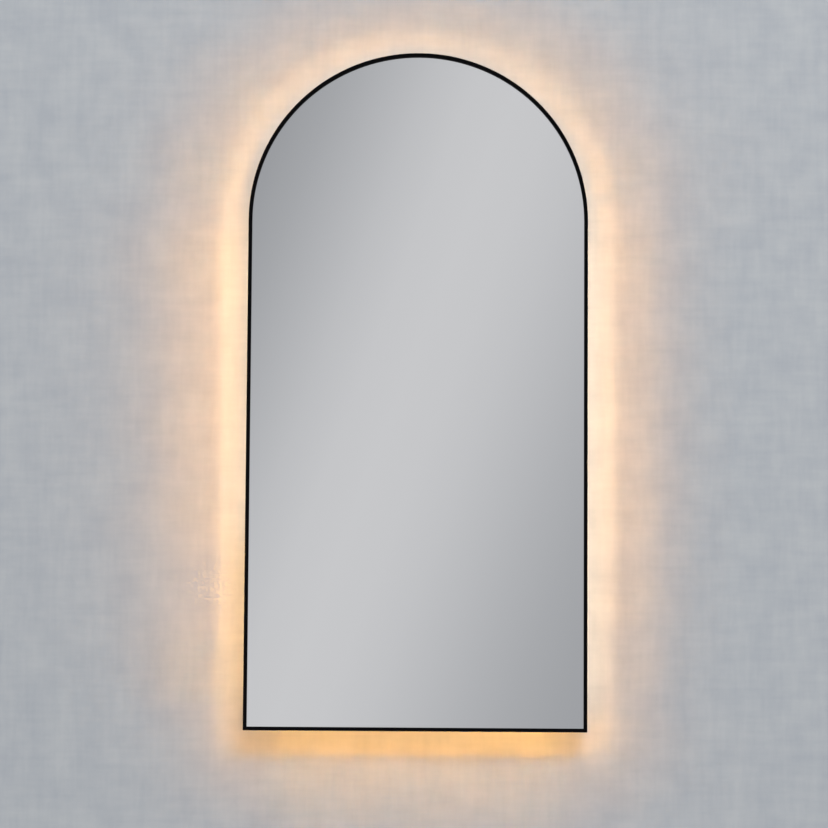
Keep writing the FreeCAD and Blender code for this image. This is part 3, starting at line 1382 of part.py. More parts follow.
def fasteners():
    """Every screw and rivet behind the mirror."""
    rim = [place for places in rim_screw_places().values() for place in places]
    short = number("panel_thickness + ledge_thickness - short_tip")
    fastener_group("panel_screws", pan_screw(short), rim, "panel_back")
    feet = [place for places in channel_screw_places().values() for place in places]
    through_foot = number("channel_web + panel_thickness + screw_tip")
    fastener_group("channel_screws", pan_screw(through_foot), feet, "foot_back")
    bars = bar_rivet_places("upper_bar_z") + bar_rivet_places("lower_bar_z")
    grip = number("bar_sheet + panel_thickness")
    fastener_group("crossbar_rivets", rivet(grip), bars, "bar_foot_back")
    grip = number("cleat_sheet + bar_sheet")
    fastener_group("cleat_rivets", rivet(grip), cleat_rivet_places(), "bar_back - cleat_sheet")
    through_bumper = number("bar_back - bumper_well_depth + bar_sheet + screw_tip")
    fastener_group("bumper_screws", pan_screw(through_bumper), bumper_places(),
                   "bumper_well_depth")
    through_ear = number("driver_ear_thickness + panel_thickness + screw_tip")
    fastener_group("driver_screws", pan_screw(through_ear), housing_screw_places()[:2], "ear_back")
    through_floor = number("box_wall + panel_thickness + screw_tip")
    fastener_group("box_screw", pan_screw(through_floor), housing_screw_places()[2:], "box_floor")


# ---------------------------------------------------------------------------------------------
# The whole mirror
# ---------------------------------------------------------------------------------------------

def build():
    """Make every sub-part."""
    frame()
    for name, side in SIDES.items():
        corner_key(name, side)
        splice_key(name, side)
        strip_link(name, side)
        bumper(name, side)
    key_screws()
    lip_gasket()
    mirror_glass()
    safety_film()
    bonding_tape()
    back_panel()
    light_channels()
    diffusers()
    light_strips()
    light_chips()
    crossbars()
    wall_cleat()
    mirror_cleat()
    driver_base()
    driver_cover()
    driver_board()
    board_pillars()
    driver_components()
    box_base()
    box_lid()
    hinge_pin()
    terminal_block()
    terminal_clamps()
    terminal_screws()
    inlet_grommet()
    lead_grommet()
    mains_lead()
    light_lead()
    cable_clips()
    fasteners()


def sub_parts():
    """The objects that are written out."""
    kinds = ("PartDesign::Body", "Part::Feature")
    return [item for item in doc.Objects if item.TypeId in kinds]


def check():
    """Stop if any feature failed, a cut took nothing away or a shape isn't sound."""
    for item in doc.Objects:
        if "Invalid" in item.State or "Error" in item.State:
            raise RuntimeError(f"{item.Label} failed: {item.State}")
        if item.TypeId == "PartDesign::Pocket":
            taken = item.BaseFeature.Shape.Volume - item.Shape.Volume
            if taken < TOUCH:
                raise RuntimeError(f"{item.Label} cuts nothing")
    for item in sub_parts():
        if item.Shape.isNull() or not item.Shape.isValid():
            raise RuntimeError(f"{item.Label} has no sound shape")
        if item.TypeId == "PartDesign::Body" and len(item.Shape.Solids) != 1:
            raise RuntimeError(f"{item.Label} is in {len(item.Shape.Solids)} pieces")


def export():
    """Write each sub-part to its own file."""
    os.makedirs("parts", exist_ok=True)
    for item in sub_parts():
        item.Shape.exportStep(f"parts/{item.Label}.step")
    print(f"{len(sub_parts())} sub-parts written")


build()
doc.recompute()
check()
export()
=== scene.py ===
"""Looks of the arched bathroom mirror with a lit rim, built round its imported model.

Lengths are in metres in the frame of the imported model: +X to the right as seen from the room,
+Y into the wall, +Z up. The centre of the arch on the wall plane is the origin. A depth is the
distance in front of the wall, and an inset is the distance inward from the frame's outer face.
"""

import logging
import math
from collections.abc import Iterable, Sequence
from dataclasses import dataclass, replace
from enum import Enum
from typing import Any

import bmesh
import bpy
from mathutils import Matrix, Vector


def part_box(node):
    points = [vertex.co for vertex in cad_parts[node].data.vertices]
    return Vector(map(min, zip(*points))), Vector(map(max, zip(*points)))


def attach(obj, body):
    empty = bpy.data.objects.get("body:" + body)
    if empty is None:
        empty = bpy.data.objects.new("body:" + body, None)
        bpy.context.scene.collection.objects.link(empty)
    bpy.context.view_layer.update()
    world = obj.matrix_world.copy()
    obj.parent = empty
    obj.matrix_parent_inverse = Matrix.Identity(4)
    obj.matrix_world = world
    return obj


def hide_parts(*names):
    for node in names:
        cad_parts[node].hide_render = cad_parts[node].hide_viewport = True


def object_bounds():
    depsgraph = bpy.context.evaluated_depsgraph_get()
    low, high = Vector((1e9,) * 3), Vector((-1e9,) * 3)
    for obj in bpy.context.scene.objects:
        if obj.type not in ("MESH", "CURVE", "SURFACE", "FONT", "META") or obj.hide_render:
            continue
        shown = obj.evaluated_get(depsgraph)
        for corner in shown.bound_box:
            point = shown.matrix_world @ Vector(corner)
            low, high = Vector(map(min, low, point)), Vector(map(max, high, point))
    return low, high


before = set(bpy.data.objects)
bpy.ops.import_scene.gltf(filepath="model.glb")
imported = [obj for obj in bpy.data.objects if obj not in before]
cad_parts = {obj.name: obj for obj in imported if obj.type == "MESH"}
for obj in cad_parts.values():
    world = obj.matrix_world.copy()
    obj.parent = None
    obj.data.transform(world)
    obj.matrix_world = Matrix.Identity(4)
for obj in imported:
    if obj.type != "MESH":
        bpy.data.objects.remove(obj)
CAD_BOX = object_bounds()

log = logging.getLogger("mirror")

MM = 0.001
SQUARE_MM = MM * MM
HALF_WIDTH = CAD_BOX[1].x
FRAME_BOTTOM = CAD_BOX[0].z
INTO_WALL = Vector((0, 1, 0))

# The two colour inputs and the colour output of a Mix node.
MIX_A, MIX_B, MIX_RESULT = 6, 7, 2

# Points this close are one point, and a hair is just more than that.
WELD = 0.002 * MM
HAIR = 0.01 * MM
# Faces that turn by less than this are one flat.
FLAT = math.radians(0.5)
# A copied piece's edge that turns by more than the first is rounded. One that turns by more than
# the second is shaded as a crease.
ROUNDED = math.radians(40)
CREASED = math.radians(35)
# A face looks one way if the cosine of its turn from that way is over this.
LOOKS_THERE = 0.9


class Body(Enum):
    """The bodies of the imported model."""

    WALL_RAIL = "wall_rail"
    MIRROR = "mirror"
    BOX_LID = "box_lid"


class Run(Enum):
    """The way a length of frame, channel or diffuser runs."""

    ARCH = "arch"
    LEFT = "left"
    RIGHT = "right"
    BOTTOM = "bottom"


# ---------------------------------------------------------------------------------------------
# Colours and nodes
# ---------------------------------------------------------------------------------------------

def linear(hex_colour: str) -> tuple[float, float, float, float]:
    """Turns an sRGB hex colour into the linear one that a socket takes.

    Args:
        hex_colour: such as "#1a2b3c".

    Returns:
        Linear red, green and blue, and an alpha of 1.
    """
    parts = (int(hex_colour[start:start + 2], 16) / 255 for start in (1, 3, 5))
    red, green, blue = (part / 12.92 if part <= 0.04045 else ((part + 0.055) / 1.055) ** 2.4
                        for part in parts)
    return red, green, blue, 1.0


def add_node(tree: bpy.types.NodeTree, kind: str, settings: dict[Any, Any] | None = None,
             links: dict[Any, bpy.types.NodeSocket] | None = None,
             stops: Sequence[tuple[float, Sequence[float]]] = (), **own: Any) -> bpy.types.Node:
    """Adds one node to a tree, with its settings and links.

    Args:
        tree: the tree of a material or of the world.
        kind: the part of the node's type after "ShaderNode".
        settings: values of its inputs, by name or index.
        links: the sockets that its other inputs read, by name or index.
        stops: places and colours, where it is a colour ramp.
        own: the node's own settings.

    Returns:
        The new node.
    """
    node = tree.nodes.new("ShaderNode" + kind)
    for name, value in own.items():
        setattr(node, name, value)
    for name, value in (settings or {}).items():
        node.inputs[name].default_value = value
    for name, socket in (links or {}).items():
        tree.links.new(socket, node.inputs[name])
    if stops:
        elements = node.color_ramp.elements
        while len(elements) < len(stops):
            elements.new(1.0)
        for element, (position, colour) in zip(elements, stops):
            element.position = position
            element.color = colour
    return node


def run_section(tree: bpy.types.NodeTree, place: bpy.types.Node, run: Run) -> bpy.types.NodeSocket:
    """Gives the place in a run's section, which is the same all along the run.

    Args:
        tree: the material's tree.
        place: its Texture Coordinate node.
        run: the way the piece runs.

    Returns:
        A vector socket of the place across the section and its depth.
    """
    parts = add_node(tree, "SeparateXYZ", links={0: place.outputs["Object"]})
    if run is Run.ARCH:
        flat = add_node(tree, "VectorMath", {1: (1, 0, 1)}, {0: place.outputs["Object"]},
                        operation="MULTIPLY")
        across = add_node(tree, "VectorMath", links={0: flat.outputs[0]},
                          operation="LENGTH").outputs["Value"]
    elif run is Run.BOTTOM:
        across = parts.outputs["Z"]
    else:
        across = parts.outputs["X"]
    return add_node(tree, "CombineXYZ", links={0: across, 1: parts.outputs["Y"]}).outputs[0]


def run_distance(tree: bpy.types.NodeTree, place: bpy.types.Node, run: Run,
                 radius: float) -> bpy.types.NodeSocket:
    """Gives the distance along a run.

    Args:
        tree: the material's tree.
        place: its Texture Coordinate node.
        run: the way the piece runs.
        radius: the radius at which the distance round the arch counts.

    Returns:
        A socket of the distance in metres.
    """
    parts = add_node(tree, "SeparateXYZ", links={0: place.outputs["Object"]})
    if run is Run.ARCH:
        angle = add_node(tree, "Math", links={0: parts.outputs["Z"], 1: parts.outputs["X"]},
                         operation="ARCTAN2")
        return add_node(tree, "Math", {1: radius}, {0: angle.outputs[0]},
                        operation="MULTIPLY").outputs[0]
    return parts.outputs["X" if run is Run.BOTTOM else "Z"]


# ---------------------------------------------------------------------------------------------
# Finishes
# ---------------------------------------------------------------------------------------------

@dataclass(frozen=True)
class Finish:
    """What every finish has: a name, a colour, its gloss and whether it is a metal."""

    title: str
    colour: str
    roughness: float = 0.5
    metallic: float = 0.0

    def material(self) -> bpy.types.Material:
        """Gives the finish's material, which is built the first time that it is asked for.

        Returns:
            The material, with Object coordinates for its pattern.
        """
        if self.title in bpy.data.materials:
            return bpy.data.materials[self.title]
        made = bpy.data.materials.new(self.title)
        made.use_nodes = True
        tree = made.node_tree
        tree.nodes.clear()
        shader = add_node(tree, "BsdfPrincipled", {
            "Base Color": linear(self.colour), "Roughness": self.roughness,
            "Metallic": self.metallic})
        add_node(tree, "OutputMaterial", links={"Surface": shader.outputs["BSDF"]})
        self.pattern(tree, shader, add_node(tree, "TexCoord"))
        made.diffuse_color = linear(self.colour)
        return made

    def dress(self, *names: str) -> None:
        """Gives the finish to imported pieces.

        Args:
            names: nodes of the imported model.
        """
        for name in names:
            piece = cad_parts[name]
            if not piece.material_slots:
                piece.data.materials.append(self.material())
            for holder in piece.material_slots:
                holder.material = self.material()
            log.info("dressed %s in %s", name, self.title)

    def pattern(self, tree: bpy.types.NodeTree, shader: bpy.types.Node,
                place: bpy.types.Node) -> None:
        """Adds what sets this surface apart from a flat colour.

        Args:
            tree: the material's tree.
            shader: its Principled node.
            place: its Texture Coordinate node.
        """
        raise NotImplementedError

    def tint(self, tree: bpy.types.NodeTree, shader: bpy.types.Node,
             amount: bpy.types.NodeSocket, other: str) -> None:
        """Turns the surface's colour towards another one.

        Args:
            tree: the material's tree.
            shader: its Principled node.
            amount: a socket from 0, this finish's colour, to 1, the other colour.
            other: the other colour, in hex.
        """
        mix = add_node(tree, "Mix", {MIX_A: linear(self.colour), MIX_B: linear(other)},
                       {0: amount}, data_type="RGBA")
        tree.links.new(mix.outputs[MIX_RESULT], shader.inputs["Base Color"])

    def gloss(self, tree: bpy.types.NodeTree, shader: bpy.types.Node,
              amount: bpy.types.NodeSocket, spread: float) -> None:
        """Lets the roughness move about its value.

        Args:
            tree: the material's tree.
            shader: its Principled node.
            amount: a socket about 0.5.
            spread: the roughness between the amounts 0.3 and 0.7.
        """
        low, high = self.roughness - spread / 2, self.roughness + spread / 2
        change = add_node(tree, "MapRange", {"From Min": 0.3, "From Max": 0.7, "To Min": low,
                                             "To Max": high}, {"Value": amount})
        tree.links.new(change.outputs["Result"], shader.inputs["Roughness"])

    def relief(self, tree: bpy.types.NodeTree, shader: bpy.types.Node,
               height: bpy.types.NodeSocket, depth: float) -> None:
        """Gives the surface a fine relief.

        Args:
            tree: the material's tree.
            shader: its Principled node.
            height: a socket from 0 to 1.
            depth: the height of the relief in metres.
        """
        bump = add_node(tree, "Bump", {"Strength": 1.0, "Distance": depth}, {"Height": height})
        tree.links.new(bump.outputs["Normal"], shader.inputs["Normal"])


@dataclass(frozen=True)
class PowderCoat(Finish):
    """Polyester powder, sprayed on and baked: an even film with a fine orange peel.

    The real peel is about 1 mm wide. It is drawn wider, because it wouldn't show.
    """

    peel: float = 1.6 * MM
    peel_depth: float = 0.008 * MM
    cloud: float = 45 * MM
    cast: str = "#0b0b0d"
    sheen: float = 0.12

    def pattern(self, tree: bpy.types.NodeTree, shader: bpy.types.Node,
                place: bpy.types.Node) -> None:
        """Adds the orange peel, and broad faint changes of shade where the film is thinner.

        Args:
            tree: the material's tree.
            shader: its Principled node.
            place: its Texture Coordinate node.
        """
        peel = add_node(tree, "TexNoise", {"Scale": 1 / self.peel, "Detail": 1.5},
                        {"Vector": place.outputs["Object"]})
        film = add_node(tree, "TexNoise", {"Scale": 1 / self.cloud, "Detail": 2.0},
                        {"Vector": place.outputs["Object"]})
        share = add_node(tree, "MapRange", {"From Min": 0.35, "From Max": 0.75, "To Max": 0.5},
                         {"Value": film.outputs["Fac"]})
        self.tint(tree, shader, share.outputs["Result"], self.cast)
        shader.inputs["Specular IOR Level"].default_value = self.sheen
        self.gloss(tree, shader, film.outputs["Fac"], spread=0.08)
        self.relief(tree, shader, peel.outputs["Fac"], self.peel_depth)


@dataclass(frozen=True)
class SilveredGlass(Finish):
    """Float glass, silvered on its back: a clear mirror whose ground edge is green and whose
    back is the grey paint over the silver."""

    edge: str = "#7fa394"
    edge_roughness: float = 0.28
    backing: str = "#5d646b"
    wiped_patch: float = 70 * MM
    wiped_roughness: float = 0.012

    def pattern(self, tree: bpy.types.NodeTree, shader: bpy.types.Node,
                place: bpy.types.Node) -> None:
        """Tells the front, the edge and the back apart by the way they face.

        Args:
            tree: the material's tree.
            shader: its Principled node.
            place: its Texture Coordinate node.
        """
        facing = add_node(tree, "SeparateXYZ", links={0: place.outputs["Normal"]})
        front = add_node(tree, "Math", {1: -LOOKS_THERE}, {0: facing.outputs["Y"]},
                         operation="LESS_THAN")
        behind = add_node(tree, "Math", {1: LOOKS_THERE}, {0: facing.outputs["Y"]},
                          operation="GREATER_THAN")
        paint = add_node(tree, "Mix", {MIX_A: linear(self.edge), MIX_B: linear(self.backing)},
                         {0: behind.outputs[0]}, data_type="RGBA")
        colour = add_node(tree, "Mix", {MIX_B: linear(self.colour)},
                          {0: front.outputs[0], MIX_A: paint.outputs[MIX_RESULT]},
                          data_type="RGBA")
        tree.links.new(colour.outputs[MIX_RESULT], shader.inputs["Base Color"])
        tree.links.new(front.outputs[0], shader.inputs["Metallic"])
        ground = add_node(tree, "MapRange", {"To Min": self.edge_roughness,
                                             "To Max": self.roughness},
                          {"Value": front.outputs[0]})
        haze = add_node(tree, "TexNoise", {"Scale": 1 / self.wiped_patch, "Detail": 3.0},
                        {"Vector": place.outputs["Object"]})
        wiped = add_node(tree, "MapRange", {"From Min": 0.45, "From Max": 0.8,
                                            "To Max": self.wiped_roughness},
                         {"Value": haze.outputs["Fac"]})
        total = add_node(tree, "Math", links={0: ground.outputs["Result"],
                                              1: wiped.outputs["Result"]}, operation="ADD")
        tree.links.new(total.outputs[0], shader.inputs["Roughness"])


@dataclass(frozen=True)
class LitOpal(Finish):
    """Opal polycarbonate, extruded and lit from inside: an even warm glow, a little brighter
    over each light chip."""

    run: Run = Run.ARCH
    glow: str = "#ffd08f"
    glow_between: str = "#ffbb6c"
    strength: float = 0.85
    chip_pitch: float = 16.67 * MM
    face_radius: float = 216 * MM
    flow_line: float = 3 * MM

    def pattern(self, tree: bpy.types.NodeTree, shader: bpy.types.Node,
                place: bpy.types.Node) -> None:
        """Adds the glow, with its soft spots at the pitch of the chips.

        Args:
            tree: the material's tree.
            shader: its Principled node.
            place: its Texture Coordinate node.
        """
        along = run_distance(tree, place, self.run, self.face_radius)
        turns = add_node(tree, "Math", {1: math.tau / self.chip_pitch}, {0: along},
                         operation="MULTIPLY")
        wave = add_node(tree, "Math", links={0: turns.outputs[0]}, operation="COSINE")
        share = add_node(tree, "MapRange", {"From Min": -1.0, "From Max": 1.0},
                         {"Value": wave.outputs[0]})
        glow = add_node(tree, "Mix", {MIX_A: linear(self.glow_between), MIX_B: linear(self.glow)},
                        {0: share.outputs["Result"]}, data_type="RGBA")
        tree.links.new(glow.outputs[MIX_RESULT], shader.inputs["Emission Color"])
        shader.inputs["Emission Strength"].default_value = self.strength
        flow = add_node(tree, "TexNoise", {"Scale": 1 / self.flow_line, "Detail": 1.0},
                        {"Vector": run_section(tree, place, self.run)})
        self.gloss(tree, shader, flow.outputs["Fac"], spread=0.1)


@dataclass(frozen=True)
class MillAluminium(Finish):
    """Aluminium, extruded and left as it comes from the die: pale and soft, with fine lines
    along its length.

    Real die lines are about 0.1 mm apart. They are drawn wider, because they wouldn't show.
    """

    run: Run = Run.ARCH
    line: float = 0.5 * MM
    line_depth: float = 0.006 * MM
    oxide_patch: float = 60 * MM
    dull: str = "#a9abaf"

    def pattern(self, tree: bpy.types.NodeTree, shader: bpy.types.Node,
                place: bpy.types.Node) -> None:
        """Adds the die lines and some dull patches of oxide.

        Args:
            tree: the material's tree.
            shader: its Principled node.
            place: its Texture Coordinate node.
        """
        lines = add_node(tree, "TexNoise", {"Scale": 1 / self.line, "Detail": 3.0},
                         {"Vector": run_section(tree, place, self.run)})
        oxide = add_node(tree, "TexNoise", {"Scale": 1 / self.oxide_patch, "Detail": 4.0},
                         {"Vector": place.outputs["Object"]})
        both = add_node(tree, "Math", links={0: lines.outputs["Fac"], 1: oxide.outputs["Fac"]},
                        operation="MULTIPLY")
        share = add_node(tree, "MapRange", {"From Min": 0.12, "From Max": 0.42},
                         {"Value": both.outputs[0]})
        self.tint(tree, shader, share.outputs["Result"], self.dull)
        self.gloss(tree, shader, lines.outputs["Fac"], spread=0.16)
        self.relief(tree, shader, lines.outputs["Fac"], self.line_depth)


@dataclass(frozen=True)
class GalvanisedSheet(Finish):
    """Steel sheet, dipped in zinc and rolled: cold grey, with the frost flowers of the zinc."""

    flower: float = 9 * MM
    flower_wander: float = 3 * MM
    wander_grain: float = 6 * MM
    light: str = "#d3d8dc"
    grain: float = 0.8 * MM
    grain_depth: float = 0.004 * MM
    cut_from: float = 0.0

    def pattern(self, tree: bpy.types.NodeTree, shader: bpy.types.Node,
                place: bpy.types.Node) -> None:
        """Adds the zinc's flowers, each with its own shade and gloss.

        Args:
            tree: the material's tree.
            shader: its Principled node.
            place: its Texture Coordinate node.
        """
        bend = add_node(tree, "TexNoise", {"Scale": 1 / self.wander_grain, "Detail": 2.0},
                        {"Vector": place.outputs["Object"]})
        push = add_node(tree, "VectorMath", {"Scale": self.flower_wander},
                        {0: bend.outputs["Color"]}, operation="SCALE")
        sheet = add_node(tree, "Mapping", {"Location": (self.cut_from, 0, 0)},
                         {"Vector": place.outputs["Object"]})
        moved = add_node(tree, "VectorMath", links={0: sheet.outputs[0], 1: push.outputs[0]},
                         operation="ADD")
        flowers = add_node(tree, "TexVoronoi", {"Scale": 1 / self.flower},
                           {"Vector": moved.outputs[0]})
        shade = add_node(tree, "SeparateColor", links={0: flowers.outputs["Color"]})
        self.tint(tree, shader, shade.outputs[0], self.light)
        self.gloss(tree, shader, shade.outputs[1], spread=0.07)
        fine = add_node(tree, "TexNoise", {"Scale": 1 / self.grain, "Detail": 2.0},
                        {"Vector": place.outputs["Object"]})
        self.relief(tree, shader, fine.outputs["Fac"], self.grain_depth)


@dataclass(frozen=True)
class PlatedMetal(Finish):
    """Small metal parts, pressed or turned and plated: bright, with faint marks of the tool.

    Real tool marks are about 0.1 mm wide. They are drawn wider, because they wouldn't show.
    """

    mark: float = 0.7 * MM
    mark_depth: float = 0.006 * MM
    stain_patch: float = 5 * MM
    stain: str = "#9a978c"

    def pattern(self, tree: bpy.types.NodeTree, shader: bpy.types.Node,
                place: bpy.types.Node) -> None:
        """Adds tool marks and a thin uneven stain.

        Args:
            tree: the material's tree.
            shader: its Principled node.
            place: its Texture Coordinate node.
        """
        marks = add_node(tree, "TexNoise", {"Scale": 1 / self.mark, "Detail": 3.0},
                         {"Vector": place.outputs["Object"]})
        stain = add_node(tree, "TexNoise", {"Scale": 1 / self.stain_patch, "Detail": 3.0},
                         {"Vector": place.outputs["Object"]})
        share = add_node(tree, "MapRange", {"From Min": 0.45, "From Max": 0.8, "To Max": 0.6},
                         {"Value": stain.outputs["Fac"]})
        self.tint(tree, shader, share.outputs["Result"], self.stain)
        self.gloss(tree, shader, marks.outputs["Fac"], spread=0.14)
        self.relief(tree, shader, marks.outputs["Fac"], self.mark_depth)


@dataclass(frozen=True)
class MouldedPlastic(Finish):
    """Plastic, moulded in a spark-eroded tool: a dry even texture with a soft sheen.

    The real texture's grain is about 0.1 mm. It is drawn coarser, because it wouldn't show.
    """

    texture: float = 0.6 * MM
    texture_depth: float = 0.015 * MM
    flow_mark: float = 22 * MM
    shade: str = "#d9d9d4"

    def pattern(self, tree: bpy.types.NodeTree, shader: bpy.types.Node,
                place: bpy.types.Node) -> None:
        """Adds the tool's texture and faint flow marks.

        Args:
            tree: the material's tree.
            shader: its Principled node.
            place: its Texture Coordinate node.
        """
        texture = add_node(tree, "TexNoise", {"Scale": 1 / self.texture, "Detail": 2.0},
                           {"Vector": place.outputs["Object"]})
        flow = add_node(tree, "TexNoise", {"Scale": 1 / self.flow_mark, "Detail": 2.0},
                        {"Vector": place.outputs["Object"]})
        share = add_node(tree, "MapRange", {"From Min": 0.4, "From Max": 0.8},
                         {"Value": flow.outputs["Fac"]})
        self.tint(tree, shader, share.outputs["Result"], self.shade)
        self.gloss(tree, shader, texture.outputs["Fac"], spread=0.1)
        self.relief(tree, shader, texture.outputs["Fac"], self.texture_depth)


@dataclass(frozen=True)
class Rubber(Finish):
    """EPDM rubber, moulded or foamed: nearly black and dull, with a dusty bloom.

    The skin's real pores are about 0.2 mm wide. They are drawn wider, because they wouldn't
    show.
    """

    bloom: str = "#3a3a3b"
    bloom_patch: float = 7 * MM
    pore: float = 1.1 * MM
    pore_depth: float = 0.02 * MM

    def pattern(self, tree: bpy.types.NodeTree, shader: bpy.types.Node,
                place: bpy.types.Node) -> None:
        """Adds the bloom and the skin's small pores.

        Args:
            tree: the material's tree.
            shader: its Principled node.
            place: its Texture Coordinate node.
        """
        bloom = add_node(tree, "TexNoise", {"Scale": 1 / self.bloom_patch, "Detail": 4.0},
                         {"Vector": place.outputs["Object"]})
        share = add_node(tree, "MapRange", {"From Min": 0.42, "From Max": 0.78},
                         {"Value": bloom.outputs["Fac"]})
        self.tint(tree, shader, share.outputs["Result"], self.bloom)
        pores = add_node(tree, "TexVoronoi", {"Scale": 1 / self.pore},
                         {"Vector": place.outputs["Object"]})
        self.gloss(tree, shader, bloom.outputs["Fac"], spread=0.12)
        self.relief(tree, shader, pores.outputs["Distance"], self.pore_depth)


@dataclass(frozen=True)
class CircuitBoard(Finish):
    """Glass-fibre board under a green lacquer: the copper tracks show through as paler lines."""

    track: str = "#2f7a4c"
    track_height: float = 0.02 * MM
    pitch: float = 4 * MM

    def pattern(self, tree: bpy.types.NodeTree, shader: bpy.types.Node,
                place: bpy.types.Node) -> None:
        """Adds the tracks as the borders of angular cells.

        Args:
            tree: the material's tree.
            shader: its Principled node.
            place: its Texture Coordinate node.
        """
        cells = add_node(tree, "TexVoronoi", {"Scale": 1 / self.pitch},
                         {"Vector": place.outputs["Object"]}, distance="MANHATTAN",
                         feature="F2")
        track = add_node(tree, "MapRange", {"From Min": 0.55, "From Max": 0.62},
                         {"Value": cells.outputs["Distance"]})
        self.tint(tree, shader, track.outputs["Result"], self.track)
        self.relief(tree, shader, track.outputs["Result"], self.track_height)


@dataclass(frozen=True)
class PlasterWall(Finish):
    """The wall behind: limewashed plaster, brushed on, with a faint cloudy weave.

    The brush goes over it twice, up and down and then to and fro.
    """

    shadow: str = "#a9aeb5"
    cloud: float = 45 * MM
    strokes_per_metre: tuple[float, float] = (90.0, 12.0)
    stroke_share: float = 0.6

    def pattern(self, tree: bpy.types.NodeTree, shader: bpy.types.Node,
                place: bpy.types.Node) -> None:
        """Adds clouds and brush strokes, and lets a camera behind the wall see through it.

        Args:
            tree: the material's tree.
            shader: its Principled node.
            place: its Texture Coordinate node.
        """
        total = add_node(tree, "TexNoise", {"Scale": 1 / self.cloud, "Detail": 3.0},
                         {"Vector": place.outputs["Object"]}).outputs["Fac"]
        across, along = self.strokes_per_metre
        for stretch in ((across, 1.0, along), (along, 1.0, across)):
            way = add_node(tree, "Mapping", {"Scale": stretch},
                           {"Vector": place.outputs["Object"]})
            strokes = add_node(tree, "TexNoise", {"Scale": 1.0, "Detail": 4.0, "Roughness": 0.6},
                               {"Vector": way.outputs[0]})
            total = add_node(tree, "Math", {1: self.stroke_share},
                             {0: strokes.outputs["Fac"], 2: total},
                             operation="MULTIPLY_ADD").outputs[0]
        share = add_node(tree, "MapRange", {"From Min": 0.85, "From Max": 1.35}, {"Value": total})
        self.tint(tree, shader, share.outputs["Result"], self.shadow)
        output = next(node for node in tree.nodes if node.type == "OUTPUT_MATERIAL")
        side = add_node(tree, "NewGeometry")
        clear = add_node(tree, "BsdfTransparent")
        mix = add_node(tree, "MixShader", links={0: side.outputs["Backfacing"],
                                                 1: shader.outputs[0], 2: clear.outputs[0]})
        tree.links.new(mix.outputs[0], output.inputs["Surface"])


@dataclass(frozen=True)
class PaleFloor(Finish):
    """The floor: plain pale screed, trowelled smooth."""

    sweeps_per_metre: float = 6.0

    def pattern(self, tree: bpy.types.NodeTree, shader: bpy.types.Node,
                place: bpy.types.Node) -> None:
        """Adds a faint change of gloss.

        Args:
            tree: the material's tree.
            shader: its Principled node.
            place: its Texture Coordinate node.
        """
        trowel = add_node(tree, "TexNoise", {"Scale": self.sweeps_per_metre, "Detail": 4.0},
                          {"Vector": place.outputs["Object"]})
        self.gloss(tree, shader, trowel.outputs["Fac"], spread=0.08)


# Aluminium under black powder: a dead even black, with no more than a breath of sheen.
BLACK_COAT = PowderCoat("powder_coated_aluminium_black", "#020203", 0.5, cast="#070708",
                        sheen=0.07)
# Steel under light grey powder: a pale dry sheet, whose peel is coarser than the frame's.
PANEL_COAT = PowderCoat("powder_coated_steel_light_grey", "#dfe1e2", 0.5, peel=2.2 * MM,
                        peel_depth=0.02 * MM, cast="#d3d6d8", sheen=0.5)
# Silver on float glass: a sharp reflection, hardly darker than what it shows.
MIRROR_SILVER = SilveredGlass("silvered_float_glass", "#f3f4f4", 0.004)
# Float glass, ground along its edge: a thin dull line of bottle green.
GROUND_RIM = MouldedPlastic("ground_float_glass_edge", "#5f7d70", 0.35, texture=0.5 * MM,
                            shade="#6d8b7e")
# Polyethylene, blown to a film: milky and cool, with slow ripples.
PLAIN_FILM = MouldedPlastic("blown_polyethylene_film", "#c9cfd3", 0.32, texture=2.4 * MM,
                            shade="#bcc4c9")
# EPDM, foamed and cut to strips: black and quite without shine, all small cells.
CELL_FOAM = Rubber("closed_cell_epdm_foam", "#1b1b1c", 0.9, bloom="#2b2b2c", pore=0.9 * MM,
                   pore_depth=0.08 * MM)
# EPDM, moulded solid: black with a soft light on its edges and some grey dust.
SOLID_RUBBER = Rubber("moulded_epdm_rubber", "#1a1a1b", 0.62)
# Steel sheet from the zinc bath: cold grey flowers, each as wide as a fingertip.
ZINC_SHEET = GalvanisedSheet("hot_dip_galvanised_steel_sheet", "#b4babf", 0.36, 1.0)
# Steel, turned or headed and zinc plated: small bright heads.
BRIGHT_STEEL = PlatedMetal("zinc_plated_steel_turned", "#cdd0d2", 0.24, 1.0)
# Aluminium, pressed into rivets: paler and softer than the screws.
RIVET_METAL = PlatedMetal("pressed_aluminium", "#d6d8da", 0.34, 1.0, stain="#b3b6b9")
# Brass, turned: warm yellow that browns in patches.
CLAMP_BRASS = PlatedMetal("turned_brass", "#d8b25c", 0.22, 1.0, stain="#a97f38")
# ABS, moulded: a slightly warm white with a dry grain.
WHITE_ABS = MouldedPlastic("moulded_abs_white", "#e9e9e5", 0.46, shade="#e0e0db")
# Polyamide, moulded in its own colour: waxy ivory.
TERMINAL_NYLON = MouldedPlastic("moulded_polyamide_natural", "#dcdccf", 0.38, texture=0.9 * MM,
                                shade="#cfcfbf")
# Epoxy resin, cast round the components: smooth black with a clean highlight.
DARK_CASE = MouldedPlastic("potted_resin_black", "#202124", 0.4, shade="#2b2c30")
# Solder mask, cured on glass-fibre board: glossy dark green.
GREEN_BOARD = CircuitBoard("solder_mask_green", "#145530", 0.22)
# Polyimide strip, lacquered: a clean white that throws the light outward.
WHITE_FLEX = MouldedPlastic("polyimide_strip_white_lacquer", "#eeeeea", 0.35, texture=1.4 * MM,
                            shade="#e2e2dc")
